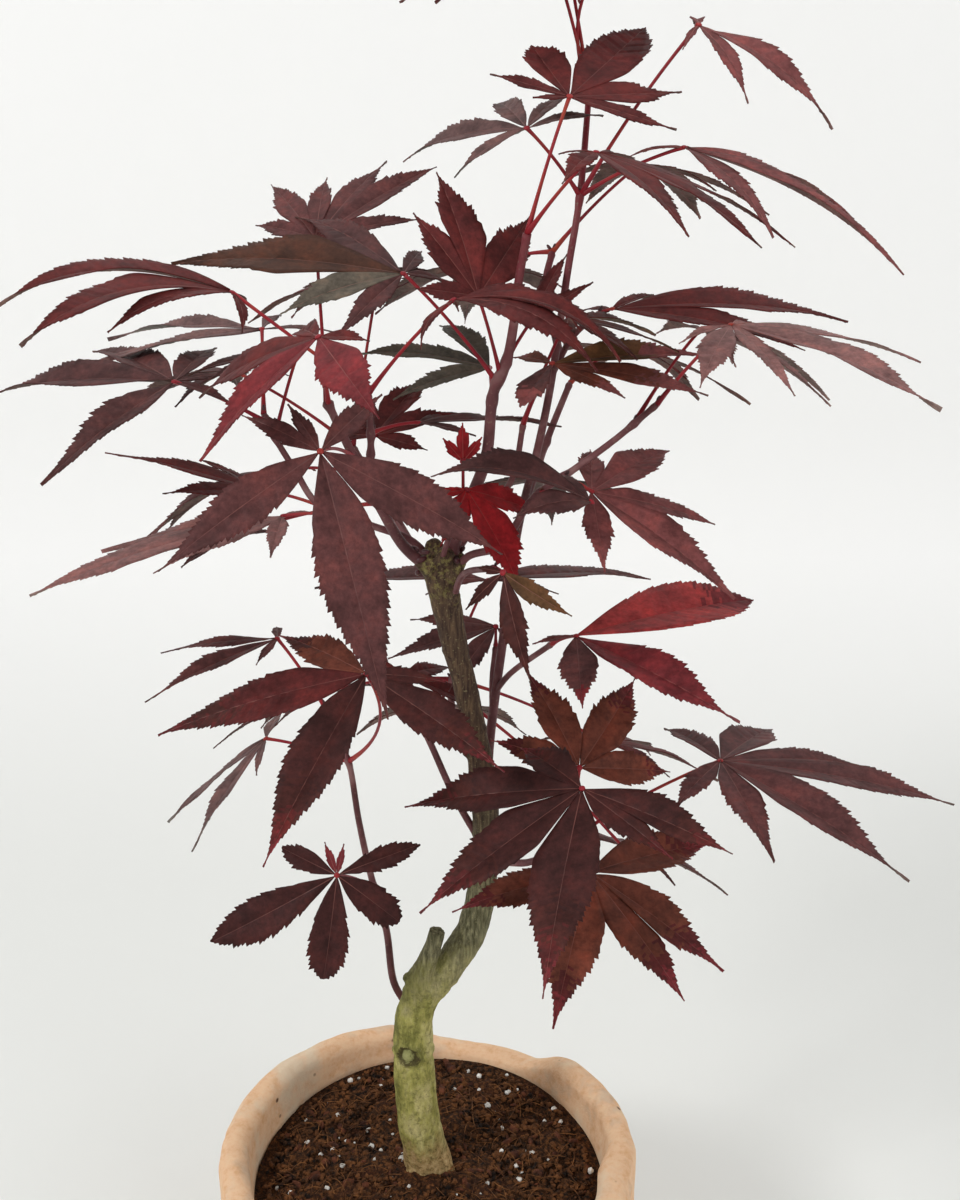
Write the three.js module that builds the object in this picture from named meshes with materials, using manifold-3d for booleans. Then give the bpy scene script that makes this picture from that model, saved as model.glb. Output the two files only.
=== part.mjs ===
// A young red-leaved maple in a hand-made clay pot, millimetres, +Z up, the pot's underside at Z = 0.
// +X is the viewer's right and -Y is toward the viewer. The trunk stands in the soil, was once cut
// back twice, and carries slender shoots that end in masses of deeply cut leaves on long stalks.
import * as THREE from 'three';
import { mergeVertices } from 'three/addons/utils/BufferGeometryUtils.js';
import Module from 'manifold-3d';

// Pot and soil
const POT_RADIUS = 65;
const POT_FOOT_RADIUS = 50;
const RIM_HEIGHT = 95;
const RIM_WIDTH = 9;
const WALL = 9.5;
const FLOOR_THICKNESS = 9;
const SOIL_HEIGHT = 85;
const SOIL_DIP = 2;
const POT_STEPS_ROUND = 48;

// Uneven roundness and rim height of the hand-made pot: [waves round, depth, phase in degrees]
const ROUND_WAVES = [[2, 0.007, 60], [3, 0.004, 25], [5, 0.002, 110]];
const RIM_WAVES = [[2, 0.5, 40], [3, 0.4, 150]];

// The rim's long dip at the back and its rise on the left: [direction in degrees, half spread, rise]
const RIM_SWELLS = [[70, 25, -8.3], [150, 50, 2.4]];

// Clearance between pieces that touch on the plant
const GAP = 0.3;

// Leaves and stalks
const LOBE_HALF_WIDTH = 0.115;
const LEAF_THICKNESS = 0.9;
const LOBE_CUP = 4;
const HEEL = 2.4;
const NOTCH_SHARE = 0.3;
const NOTCH_STEP = 0.02;
const WIDEST_HALF_SECTOR = 1;
const SECTOR_FILL = 0.94;
const ROOT_DEPTH = 1.1;
const LOBE_STATIONS = [0.36, 0.68];
const LOBE_STEPS = 10;
const STALK_RADIUS = 0.8;
const STALK_ARCH = 0.08;
const STALK_STEPS = 4;

// A lobe or stalk that would cut into a neighbour by more than this volume is left off
const TOUCH_VOLUME = 0.005;

// Forms smaller than this, where lobes cross, are smoothed away
const SMALLEST_FORM = 0.1;

// Trunk: points up its middle, with the radius there
const TRUNK = [
  [-1, 3, 78, 8.2], [0, 2, 85, 7.6], [-1, 1, 92, 7.0], [-3, 0, 108, 6.5], [-4, 0, 127, 6.3],
  [-3, 0, 147, 5.6], [6, 2, 160, 5.0], [13, 4, 170, 4.8], [16, 5, 179, 4.4], [18, 6, 194, 4.0],
  [18, 6, 209, 3.9], [17, 5, 224, 3.7], [14, 4, 242, 3.3], [10, 3, 261, 3.6], [6, 2, 283, 4.4],
  [6, 2, 291, 5.2],
];
// Pruned stub that carries on straight where the trunk bends away
const STUB = [[-4, 0, 143, 4.6], [-1, -1, 156, 4.0], [3, -2, 167, 3.0], [5, -3, 175, 2.5]];
const TRUNK_SIDES = 10;
const TRUNK_STEPS = 22;
const STUB_STEPS = 4;

// Root flare: [direction in degrees, reach] of each swelling at the soil
const ROOTS = [[-15, 7.6], [115, 7], [205, 6.6]];
const ROOT_TOP = 99;
const ROOT_RADII = [3.6, 2.4];

// Shoots
const SHOOT_SIDES = 5;
const SHOOT_STEPS = 9;

// Leaf: where its stalk leaves the stem, as a share of the route, then hub, heading (0 is +X, 90 away
// from the viewer), dip below level, roll to its right, droop toward the lobe tips, and each lobe as
// angle off the heading (left is +), length and, where it has its own, width against a usual lobe.
const leaf = (at, hub, heading, dip, roll, droop, lobeList, wide = 1, via = null) => {
  const lobes = lobeList.map(([turn, length, own = wide]) => [turn, length, own]);
  return { at, hub, heading, dip, roll, droop, lobes, via };
};

// The lobes of a plain leaf: a long middle one, and a shorter and a short one on either side
const plain = (length) => [
  [0, length], [45, length * 0.86], [-45, length * 0.86], [90, length * 0.5], [-90, length * 0.5],
];

// Shoots. A route starts inside its carrier. Its first part, up to the share named bare, is a bough
// and the rest is the stem of a mass of leaves. With bare at 0 the mass stands on its carrier's side.
const SHOOTS = [
  {
    name: 'leader', carrier: 'trunk', radii: [1.5, 0.8], bare: 0.78,
    route: [[18, 6, 203], [19, 13, 226], [21, 14, 245], [23, 14, 261], [27, 13, 295], [32, 11, 318],
      [35, 9, 335], [39, 8, 366], [42, 13, 384], [45, 31, 409]],
    leaves: [
      leaf(1, [36, 36, 440], -130, -5, 0, 30, [[0, 48], [45, 42], [-45, 42], [90, 28], [-90, 28]]),
      leaf(0.86, [70, 9, 426], -22, 12, 15, 42, [[-7, 43], [-40, 28], [-92, 10], [110, 18]], 0.8),
      leaf(0.86, [28, 5, 402], 150, 0, -30, 30, [[0, 42], [-45, 34], [-88, 26], [40, 22], [-134, 12]], 0.8),
      leaf(0.86, [68, 10, 397], -32, 8, 0, 30, [[0, 66], [-30, 45], [35, 50], [178, 12], [-150, 14]], 0.7),
      leaf(1, [52, 30, 444], 25, -25, 0, 30, plain(44), 1, [36, 38, 432]),
      leaf(1, [38, 40, 446], 105, -20, 0, 30, plain(46)),
    ],
  },
  {
    name: 'crown', carrier: 'trunk', radii: [1.9, 1.0], bare: 0.5,
    route: [[8, 1, 284], [10, 0, 297], [14, -2, 308], [18, -4, 320], [20, -5, 338], [23, -5, 345],
      [25, -6, 356], [26, -7, 366], [28, -8, 378]],
    leaves: [
      leaf(1, [38, -4, 410], 60, -22, 20, 0,
        [[0, 48, 1.3], [48, 26, 1.7], [-41, 31, 1.4], [-74, 27, 0.8], [92, 21, 0.8], [125, 9]]),
      leaf(1, [44, -15, 398], -10, 10, 0, 25,
        [[4, 53], [-51, 43], [-22, 48], [-100, 24], [160, 10], [60, 24]]),
      leaf(0.6, [-3, 0, 367], 180, -15, -25, 25,
        [[4, 60, 1.35], [34, 34, 1.3], [-40, 44], [-100, 20], [65, 28], [-150, 14]]),
      leaf(0.62, [16, -10, 363], 105, -60, 10, 15, [[5, 36], [30, 27], [-39, 32], [80, 16], [-90, 18]], 1.45),
      leaf(0.55, [19, 22, 338], 175, -15, -15, 25, [[-5, 38], [-60, 40], [40, 30]]),
      leaf(0.66, [30, -2, 356], 60, -50, 0, 15, [[0, 22], [-40, 18], [40, 16]]),
    ],
  },
  {
    name: 'right', carrier: 'trunk', radii: [1.1, 0.8], bare: 0.42,
    route: [[9, -1, 285], [13, -3, 292], [22, -6, 296], [26, -8, 303], [30, -9, 310], [41, -8, 318],
      [51, -6, 325], [62, -4, 334]],
    leaves: [
      leaf(0.5, [44, -30, 316], -170, -35, -15, 55, [[0, 42], [35, 24], [-45, 22]], 1.5),
      leaf(0.6, [45, -15, 314], -42, 20, 8, 15, [[10, 46], [47, 35], [-40, 27], [99, 44], [130, 26]], 1.2),
      leaf(1, [80, -5, 355], -45, 0, 0, 20,
        [[4, 60], [50, 52], [-33, 42, 0.6], [-64, 38], [-110, 16], [100, 12]]),
      leaf(0.9, [76, 20, 349], 20, 15, 0, 25, plain(48)),
    ],
  },
  {
    name: 'middle', carrier: 'trunk', radii: [1.0, 0.8], bare: 0.55,
    route: [[9, 4, 285], [11, 5, 292], [19, 8, 302], [25, 9, 310], [28, 8, 326]],
    leaves: [
      leaf(1, [35, 0, 344], -20, -5, 20, 15, [[-6, 42], [20, 40], [-24, 24], [-105, 17, 2], [149, 16, 1.3]]),
      leaf(1, [39, 0, 356], -5, 5, 0, 20, [[0, 30], [-45, 26], [45, 34], [-90, 20]]),
    ],
  },
  {
    name: 'left', carrier: 'trunk', radii: [1.6, 1.0], bare: 0.65,
    route: [[4, 1, 286], [-4, -3, 295], [-10, -8, 308], [-13, -10, 314], [-17, -13, 325],
      [-22, -16, 338]],
    leaves: [
      leaf(0.98, [-21, -40, 359], -148, 28, 0, 20, [[0, 40], [75, 38], [-55, 42], [116, 14], [-98, 20]], 1.3),
      leaf(1, [-27, 20, 373], 90, -35, -12, 15,
        [[0, 30], [28, 36], [-27, 38], [55, 24], [-48, 43], [-78, 28], [120, 12]]),
      leaf(0.72, [-21, -45, 333], -80, 50, 0, 20,
        [[9, 65], [59, 50], [-58, 47], [136, 24], [-125, 22], [-155, 16]], 1.05),
    ],
  },
  {
    name: 'left_upper', carrier: 'left', radii: [1.0, 0.8], bare: 0,
    route: [[-13, -10, 311], [-12, -6, 322], [-12, -8, 338]],
    leaves: [
      leaf(1, [10, -20, 364], -30, -15, 10, 70, [[6, 47], [-12, 45], [28, 34], [-120, 16], [120, 9]]),
      leaf(1, [-45, -10, 364], -172, -25, 0, 55, [[4, 58], [36, 60], [46, 39], [115, 15], [-110, 14]],
        1, [-27, -17, 352]),
      leaf(0.4, [-12, 10, 322], 60, -30, 0, 15, [[0, 30], [45, 24], [-45, 24], [90, 16], [-90, 16]], 1.4),
      leaf(0.6, [0, 5, 327], 15, -5, 0, 15, [[0, 40], [-40, 17], [40, 22]]),
    ],
  },
  {
    name: 'far_left', carrier: 'trunk', radii: [1.1, 0.8], bare: 0.4,
    route: [[5, 6, 285], [-2, 4, 294], [-14, 1, 300], [-27, 0, 306], [-33, 2, 315], [-38, 4, 323],
      [-41, 6, 329]],
    leaves: [
      leaf(0.5, [-44, 15, 305], 178, -22, 0, 10, [[0, 44], [40, 30], [-40, 26]]),
      leaf(0.48, [-37, 5, 301], -155, 0, 0, 15, [[0, 70], [17, 41], [-20, 50], [63, 23], [-150, 12]]),
      leaf(1, [-43, 25, 348], 175, 0, -10, 20, [[-21, 55], [9, 54], [-90, 24], [-153, 23]], 0.6),
      leaf(0.96, [-64, 5, 338], 180, 0, -15, 20,
        [[-16, 60], [53, 47], [-51, 49], [-100, 35], [160, 17], [-140, 16]]),
      leaf(0.9, [-31, 5, 346], 180, 0, 0, 20, [[0, 30], [-35, 24], [30, 28]]),
    ],
  },
  {
    name: 'low_left', carrier: 'trunk', radii: [1.2, 0.8], bare: 0.4,
    route: [[-3, 0, 137], [-6, 7, 141], [-10, 8, 149], [-12, 8, 168], [-16, 6, 188], [-19, 4, 208],
      [-21, 2, 227], [-23, 1, 234], [-27, 0, 246]],
    leaves: [
      leaf(0.45, [-24, -15, 201], -95, 65, 0, 5,
        [[-4, 30, 1.6], [-58, 42, 1.25], [57, 22, 1.9], [-112, 18, 1.5], [113, 25], [170, 9], [-155, 10]]),
      leaf(0.84, [-12, -40, 274], -108, 25, 0, 15,
        [[-8, 56], [-68, 57], [65, 45], [-115, 35], [101, 20]], 1.15, [-5, -16, 247]),
      leaf(0.84, [-45, 5, 234], -175, 30, 0, 15, [[6, 38], [47, 40], [-96, 24], [72, 15]], 0.75),
      leaf(1, [-41, 10, 263], -150, 0, 0, 15, [[10, 43], [-36, 35], [43, 14], [-113, 16]], 0.75),
    ],
  },
  {
    name: 'low_inner', carrier: 'trunk', radii: [1.1, 0.9], bare: 0.6,
    route: [[18, 6, 197], [9, 9, 213], [2, 10, 230], [-4, 10, 244]],
    leaves: [
      leaf(1, [-6, 16, 249], 5, 20, 15, 20, [[0, 28], [45, 24], [-60, 12], [150, 12]]),
    ],
  },
  {
    name: 'low_right', carrier: 'trunk', radii: [1.2, 0.9], bare: 0.5,
    route: [[17, 6, 187], [20, 3, 194], [30, -8, 201], [36, -15, 208], [43, -20, 217]],
    leaves: [
      leaf(1, [42, -50, 247], -97, 20, 7, 15,
        [[-7, 57], [-49, 51], [48, 30], [-93, 49], [66, 41], [-138, 27, 1.5]], 1.25),
      leaf(0.96, [43, -25, 240], 55, -35, 38, 20, [[-6, 36], [52, 32], [-57, 29], [100, 25]], 1.4),
      leaf(0.9, [45, -45, 220], -62, 20, 0, 15, [[8, 41], [-40, 46], [30, 42], [-98, 38], [93, 44]], 1.3),
      leaf(0.86, [84, -5, 232], -10, 0, 0, 15,
        [[5, 67], [-39, 64], [25, 48], [-70, 44], [68, 42, 1.5], [-118, 25, 1.3], [118, 36]]),
    ],
  },
  {
    name: 'leader_front', carrier: 'leader', radii: [0.9, 0.8], bare: 0,
    route: [[21, 14, 245], [25, 8, 253], [36, -6, 268]],
    leaves: [
      leaf(1, [42, -15, 274], -35, 0, 10, 10, [[-9, 53], [61, 57, 1.9], [-56, 29, 1.5], [-150, 12]]),
    ],
  },
  {
    name: 'leader_back', carrier: 'leader', radii: [0.9, 0.8], bare: 0,
    route: [[20, 14, 238], [20, 21, 246], [21, 24, 255]],
    leaves: [
      leaf(1, [21, 24, 261], -165, 0, -25, 20, [[5, 33], [-24, 26], [45, 26], [120, 12]]),
    ],
  },
  {
    name: 'leader_side', carrier: 'leader', radii: [0.9, 0.8], bare: 0,
    route: [[35, 9, 338], [41, 14, 348], [48, 20, 353]],
    leaves: [
      leaf(1, [52, 22, 354], 0, -8, 10, 22, [[3, 66], [-22, 53], [48, 24], [134, 13], [-150, 13]]),
    ],
  },
  {
    name: 'collar_front', carrier: 'trunk', radii: [0.9, 0.8], bare: 0,
    route: [[9, 0, 278], [12, -14, 291], [20, -34, 300]],
    leaves: [
      leaf(1, [22, -40, 301], -85, 55, 35, 20, [[7, 28], [50, 21], [-62, 15], [-111, 9]]),
    ],
  },
  {
    name: 'collar_young', carrier: 'trunk', radii: [0.8, 0.7], bare: 0,
    route: [[5, 0, 286], [8, -6, 298], [12, -9, 308]],
    leaves: [
      leaf(1, [13, -10, 313], -50, 35, 0, 15, [[1, 30], [63, 21], [-50, 20], [-100, 10]], 1.4),
      leaf(1, [12, -8, 320], 90, -75, 0, 0, [[0, 10], [40, 8], [-40, 8]], 1.6),
    ],
  },
  {
    name: 'back_low', carrier: 'trunk', radii: [1.2, 0.9], bare: 0.45,
    route: [[14, 4, 230], [8, 20, 238], [10, 36, 250]],
    leaves: [
      leaf(1, [19, 50, 266], 90, 0, 0, 15, [[69, 60], [-60, 62], [100, 20], [-95, 22]]),
      leaf(0.7, [-30, 45, 231], 130, 20, 0, 25, plain(50)),
      leaf(0.8, [4, 54, 222], 90, 25, 0, 25, plain(48)),
      leaf(0.7, [54, 40, 216], 60, 15, 0, 25, plain(50)),
      leaf(0.6, [61, 35, 182], 50, 20, 0, 25, plain(46)),
    ],
  },
  {
    name: 'back_left', carrier: 'trunk', radii: [1.2, 0.9], bare: 0.45,
    route: [[5, 3, 280], [-8, 20, 297], [-20, 35, 312]],
    leaves: [
      leaf(0.8, [-48, 45, 302], 150, 20, 0, 25, plain(50)),
      leaf(0.6, [-57, 40, 283], 140, 5, 0, 15, plain(42)),
      leaf(1, [-56, 50, 331], 145, 10, 0, 25, plain(50)),
      leaf(1, [-12, 48, 360], 135, 10, 0, 25, plain(48)),
    ],
  },
  {
    name: 'back_right', carrier: 'leader', radii: [1.1, 0.9], bare: 0,
    route: [[29, 12, 303], [36, 28, 318], [42, 38, 330]],
    leaves: [
      leaf(0.5, [34, 44, 300], 80, 20, 0, 25, plain(50)),
      leaf(1, [57, 50, 338], 50, 15, 0, 25, plain(50)),
    ],
  },
  {
    name: 'back_high', carrier: 'leader', radii: [1.1, 0.9], bare: 0,
    route: [[37, 8, 346], [34, 24, 360], [36, 30, 368]],
    leaves: [
      leaf(1, [16, 42, 362], 95, 15, 0, 25, plain(50)),
      leaf(1, [60, 40, 390], 60, 10, 0, 25, plain(48)),
    ],
  },
];

const wasm = await Module();
wasm.setup();
const { Manifold } = wasm;

function toSolid(geometry) {
  const bare = geometry.clone();
  bare.deleteAttribute('normal');
  bare.deleteAttribute('uv');
  const merged = mergeVertices(bare, 1e-4);
  return new Manifold(new wasm.Mesh({
    numProp: 3,
    vertProperties: merged.attributes.position.array,
    triVerts: new Uint32Array(merged.index.array),
  }));
}

function toMesh(name, solid, finish) {
  const { vertProperties, triVerts } = solid.getMesh();
  const geometry = new THREE.BufferGeometry();
  geometry.setAttribute('position', new THREE.BufferAttribute(vertProperties, 3));
  geometry.setIndex(new THREE.BufferAttribute(triVerts, 1));
  geometry.computeVertexNormals();
  const mesh = new THREE.Mesh(geometry, new THREE.MeshStandardMaterial(finish));
  mesh.name = name;
  return mesh;
}

// A fused solid can hold a loose scrap or a sealed hollow, and only its largest body is kept
function largestBody(solid) {
  return solid.decompose().reduce((best, body) => (body.volume() > best.volume() ? body : best));
}

const radians = THREE.MathUtils.degToRad;

const curveThrough = (points) => new THREE.CatmullRomCurve3(
  points.map(([x, y, z]) => new THREE.Vector3(x, y, z)),
);

// Radius along a curve whose points each hold one as their fourth value
function radiusByPoints(curve, points) {
  return (share) => {
    const place = curve.getUtoTmapping(share) * (points.length - 1);
    const before = Math.min(Math.floor(place), points.length - 2);
    return THREE.MathUtils.lerp(points[before][3], points[before + 1][3], place - before);
  };
}

const radiusBetween = ([first, last]) => (share) => THREE.MathUtils.lerp(first, last, share);

// A round limb along a curve between two shares of its length
function limb(curve, from, to, radiusAt, sides, steps, grow = 0) {
  const rings = [];
  const turn = new THREE.Quaternion();
  let heading = new THREE.Vector3(0, 1, 0);
  for (let i = 0; i <= steps; i += 1) {
    const share = THREE.MathUtils.lerp(from, to, i / steps);
    const tangent = curve.getTangentAt(share);
    turn.premultiply(new THREE.Quaternion().setFromUnitVectors(heading, tangent));
    heading = tangent;
    rings.push({ centre: curve.getPointAt(share), turn: turn.clone(), radius: radiusAt(share) + grow });
  }
  const geometry = new THREE.CylinderGeometry(1, 1, 1, sides, steps);
  const places = geometry.attributes.position;
  const place = new THREE.Vector3();
  for (let i = 0; i < places.count; i += 1) {
    place.fromBufferAttribute(places, i);
    const ring = rings[Math.round((place.y + 0.5) * steps)];
    place.y = 0;
    place.multiplyScalar(ring.radius).applyQuaternion(ring.turn).add(ring.centre);
    places.setXYZ(i, place.x, place.y, place.z);
  }
  return toSolid(geometry);
}

// A leaf's own directions: along its heading, out of its upper side, and to its right
function leafAxes({ heading, dip, roll }) {
  const h = radians(heading);
  const d = radians(dip);
  const r = radians(roll);
  const along = new THREE.Vector3(
    Math.cos(h) * Math.cos(d),
    Math.sin(h) * Math.cos(d),
    -Math.sin(d),
  );
  const level = new THREE.Vector3(Math.cos(h) * Math.sin(d), Math.sin(h) * Math.sin(d), Math.cos(d));
  const side = along.clone().cross(level);
  const up = level.clone().multiplyScalar(Math.cos(r)).addScaledVector(side, Math.sin(r));
  const right = side.multiplyScalar(Math.cos(r)).addScaledVector(level, -Math.sin(r));
  return { along, up, right };
}

// A place on a leaf: a share of the way out along a lobe that bends down by the leaf's droop, then a
// distance across to its right and a height above its surface
function leafPoint(shape, [angle, length], share, across, height) {
  const { along, up, right } = leafAxes(shape);
  const a = radians(angle);
  const out = along.clone().multiplyScalar(Math.cos(a)).addScaledVector(right, -Math.sin(a));
  const side = along.clone().multiplyScalar(Math.sin(a)).addScaledVector(right, Math.cos(a));
  const bendAt = (t) => radians(LOBE_CUP + shape.droop * t ** 1.5);
  const place = new THREE.Vector3(...shape.hub);
  const step = (length * share) / LOBE_STEPS;
  for (let i = 0; i < LOBE_STEPS; i += 1) {
    const bend = bendAt((share * (i + 0.5)) / LOBE_STEPS);
    place.addScaledVector(out, Math.cos(bend) * step).addScaledVector(up, -Math.sin(bend) * step);
  }
  const tilt = bendAt(share);
  const normal = up.clone().multiplyScalar(Math.cos(tilt)).addScaledVector(out, Math.sin(tilt));
  return place.addScaledVector(side, across).addScaledVector(normal, height);
}

// Half the width of a lobe at a share of its length: widest before the middle, drawn out to a tip
const lobeHalfWidth = (share, length, wide) => (
  LOBE_HALF_WIDTH * wide * length * Math.sin(Math.PI * share ** 0.8) ** 1.6
);

// The notch between two lobes: its angle, how far it is from the hub, and half the angle between them
function notchBetween([rightAngle, rightLength, rightWide], [leftAngle, leftLength, leftWide]) {
  const apart = leftAngle > rightAngle ? leftAngle - rightAngle : leftAngle - rightAngle + 360;
  const half = Math.min(radians(apart / 2), WIDEST_HALF_SECTOR);
  const length = (rightLength + leftLength) / 2;
  const wide = (rightWide + leftWide) / 2;
  let share = NOTCH_SHARE;
  while (share > 0 && (apart > 180 || lobeHalfWidth(share, 1, wide) < share * Math.tan(half))) {
    share -= NOTCH_STEP;
  }
  const reach = Math.max(HEEL, share * Math.min(rightLength, leftLength));
  return { angle: rightAngle + apart / 2, reach, half, length };
}

// A whole leaf as one closed blade: each lobe has a ridge on its upper side and keeps to its own
// sector, and neighbours join at the notch between them
function blade(shape) {
  const lobes = [...shape.lobes].sort((one, other) => one[0] - other[0]);
  const count = lobes.length;
  const notches = lobes.map((lobe, i) => notchBetween(lobe, lobes[(i + 1) % count]));
  const places = [
    new THREE.Vector3(...shape.hub).addScaledVector(leafAxes(shape).up, LEAF_THICKNESS),
    new THREE.Vector3(...shape.hub).addScaledVector(leafAxes(shape).up, -LEAF_THICKNESS * 0.6),
  ];
  const [top, bottom] = [0, 1];
  for (const { angle, length, reach } of notches) {
    places.push(leafPoint(shape, [angle, length], reach / length, 0, 0));
  }
  const faces = [];
  lobes.forEach((lobe, i) => {
    const [, length, wide] = lobe;
    const leftNotch = 2 + i;
    const rightNotch = 2 + ((i + count - 1) % count);
    const first = places.length;
    for (const share of LOBE_STATIONS) {
      const widest = lobeHalfWidth(share, length, wide);
      const [toRight, toLeft] = [notches[rightNotch - 2], notches[leftNotch - 2]].map(({ half }) => (
        Math.min(widest, share * length * Math.tan(half) * SECTOR_FILL)
      ));
      places.push(leafPoint(shape, lobe, share, -toLeft, 0));
      places.push(leafPoint(shape, lobe, share, 0, LEAF_THICKNESS));
      places.push(leafPoint(shape, lobe, share, toRight, 0));
    }
    const [l1, m1, r1, l2, m2, r2] = [0, 1, 2, 3, 4, 5].map((k) => first + k);
    const tip = places.push(leafPoint(shape, lobe, 1, 0, 0)) - 1;
    faces.push(
      [top, rightNotch, m1], [rightNotch, r1, m1], [top, m1, leftNotch], [leftNotch, m1, l1],
      [m1, r1, r2], [m1, r2, m2], [m1, m2, l2], [m1, l2, l1], [m2, r2, tip], [m2, tip, l2],
      [bottom, leftNotch, rightNotch], [rightNotch, leftNotch, l1], [rightNotch, l1, r1],
      [r1, l1, l2], [r1, l2, r2], [r2, l2, tip],
    );
  });
  const geometry = new THREE.BufferGeometry().setFromPoints(places).setIndex(faces.flat());
  return toSolid(geometry);
}

// A leaf clear of every solid placed before it, which gives up its last lobes where they would touch
function clearBlade(shape, placed) {
  for (let count = shape.lobes.length; count > 1; count -= 1) {
    const solid = blade({ ...shape, lobes: shape.lobes.slice(0, count) });
    if (keepsClear(solid, placed)) {
      return solid;
    }
  }
  return null;
}

// A stalk from inside the stem to the hub, arched unless it goes by way of a named point
function stalk(place, { hub, via }) {
  const end = new THREE.Vector3(...hub);
  const root = place.clone().lerp(end, -ROOT_DEPTH / (2 * place.distanceTo(end)));
  const middle = root.clone().add(end).multiplyScalar(0.5);
  middle.z += root.distanceTo(end) * STALK_ARCH;
  const bend = via ? new THREE.Vector3(...via) : middle;
  const curve = new THREE.QuadraticBezierCurve3(root, bend, end);
  return limb(curve, 0, 1, () => STALK_RADIUS, 3, STALK_STEPS);
}

function boxesMeet(one, other) {
  const a = one.boundingBox();
  const b = other.boundingBox();
  return [0, 1, 2].every((axis) => a.min[axis] < b.max[axis] && b.min[axis] < a.max[axis]);
}

// True where a solid keeps clear of every solid placed before it
const keepsClear = (solid, placed) => placed.every(
  (other) => !boxesMeet(solid, other) || solid.intersect(other).volume() < TOUCH_VOLUME,
);

// The stem of a mass with its leaves fused on, less each leaf whose stalk would cut into a neighbour
function foliage(curve, shoot, stem, placed) {
  const pieces = [stem];
  for (const shape of shoot.leaves) {
    const leafStalk = stalk(curve.getPointAt(shape.at), shape);
    const leafBlade = clearBlade(shape, placed);
    if (leafBlade && keepsClear(leafStalk, placed)) {
      pieces.push(leafStalk, leafBlade);
    }
  }
  return largestBody(Manifold.union(pieces).simplify(SMALLEST_FORM));
}

// The pot's unevenness at a place round it
function waves(list, angle) {
  return list.reduce((sum, [count, depth, phase]) => (
    sum + depth * Math.sin(count * angle + radians(phase))
  ), 0);
}

// How far the rim rises above its usual height in a direction
function rimRise(angle) {
  return RIM_SWELLS.reduce((sum, [direction, spread, rise]) => {
    const turn = THREE.MathUtils.euclideanModulo(angle - radians(direction) + Math.PI, 2 * Math.PI);
    return sum + rise * Math.exp(-(((turn - Math.PI) / radians(spread)) ** 4));
  }, waves(RIM_WAVES, angle));
}

// Turns a profile of [radius, height] into an uneven round solid
function thrown(profile) {
  const points = profile.map(([radius, height]) => new THREE.Vector2(radius, height));
  const geometry = new THREE.LatheGeometry(points, POT_STEPS_ROUND).rotateX(Math.PI / 2);
  const places = geometry.attributes.position;
  for (let i = 0; i < places.count; i += 1) {
    const angle = Math.atan2(places.getY(i), places.getX(i));
    const scale = 1 + waves(ROUND_WAVES, angle);
    const rimShare = Math.max(0, (places.getZ(i) - SOIL_HEIGHT) / (RIM_HEIGHT - SOIL_HEIGHT));
    places.setX(i, places.getX(i) * scale);
    places.setY(i, places.getY(i) * scale);
    places.setZ(i, places.getZ(i) + rimShare * rimRise(angle));
  }
  return toSolid(geometry);
}

// The pot's outer radius at a height, from its foot to just under the rim
function outerRadius(height) {
  const share = height / RIM_HEIGHT;
  return THREE.MathUtils.lerp(POT_FOOT_RADIUS, POT_RADIUS, Math.sin((share * Math.PI) / 2) ** 0.8);
}

const innerRadius = (height) => outerRadius(height) - WALL;

function pot() {
  const outside = [4, 12, 25, 45, 65, 80, RIM_HEIGHT - 5].map((height) => [outerRadius(height), height]);
  const inside = [SOIL_HEIGHT, 60, 35, 18, FLOOR_THICKNESS].map((height) => [innerRadius(height), height]);
  const rimInner = POT_RADIUS - RIM_WIDTH;
  const rim = [[POT_RADIUS - 1, RIM_HEIGHT - 1.5], [POT_RADIUS - 3, RIM_HEIGHT], [rimInner + 3, RIM_HEIGHT],
    [rimInner + 0.5, RIM_HEIGHT - 2]];
  return thrown([[0, 0], [POT_FOOT_RADIUS, 0], ...outside, ...rim, ...inside, [0, FLOOR_THICKNESS]]);
}

function soil() {
  const floor = FLOOR_THICKNESS + GAP;
  const side = [floor, 18, 35, 60, SOIL_HEIGHT - SOIL_DIP].map((height) => (
    [innerRadius(height) - GAP, height]
  ));
  return thrown([[0, floor], ...side, [innerRadius(SOIL_HEIGHT) - 12, SOIL_HEIGHT - 0.5],
    [18, SOIL_HEIGHT], [0, SOIL_HEIGHT]]);
}

// The trunk with its pruned stub and root flare, cut flat just above the soil
function trunk(curve, grow = 0) {
  const stubCurve = curveThrough(STUB);
  const roots = ROOTS.map(([direction, reach]) => {
    const x = Math.cos(radians(direction)) * reach;
    const y = Math.sin(radians(direction)) * reach;
    const rootCurve = curveThrough([[-1, 1, ROOT_TOP], [x * 0.45, y * 0.45, 91], [x, y, 82]]);
    return limb(rootCurve, 0, 1, radiusBetween(ROOT_RADII), 8, 5, grow);
  });
  const ground = SOIL_HEIGHT + GAP;
  const below = new THREE.BoxGeometry(100, 100, 40).translate(0, 0, ground - 20);
  return Manifold.union([
    limb(curve, 0, 1, radiusByPoints(curve, TRUNK), TRUNK_SIDES, TRUNK_STEPS, grow),
    limb(stubCurve, 0, 1, radiusByPoints(stubCurve, STUB), 8, STUB_STEPS, grow),
    ...roots,
  ]).subtract(toSolid(below));
}

const BARK = { color: 0x5e5640, roughness: 0.85, metalness: 0 };
const SHOOT_BARK = { color: 0x54303a, roughness: 0.6, metalness: 0 };
const FOLIAGE = { color: 0x5c3036, roughness: 0.65, metalness: 0 };
const CLAY = { color: 0xdeb287, roughness: 0.9, metalness: 0 };
const EARTH = { color: 0x3a2c22, roughness: 1, metalness: 0 };

const plant = new THREE.Group();
plant.name = 'potted_maple';
plant.add(toMesh('pot', pot(), CLAY));
plant.add(toMesh('soil', soil(), EARTH));

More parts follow.
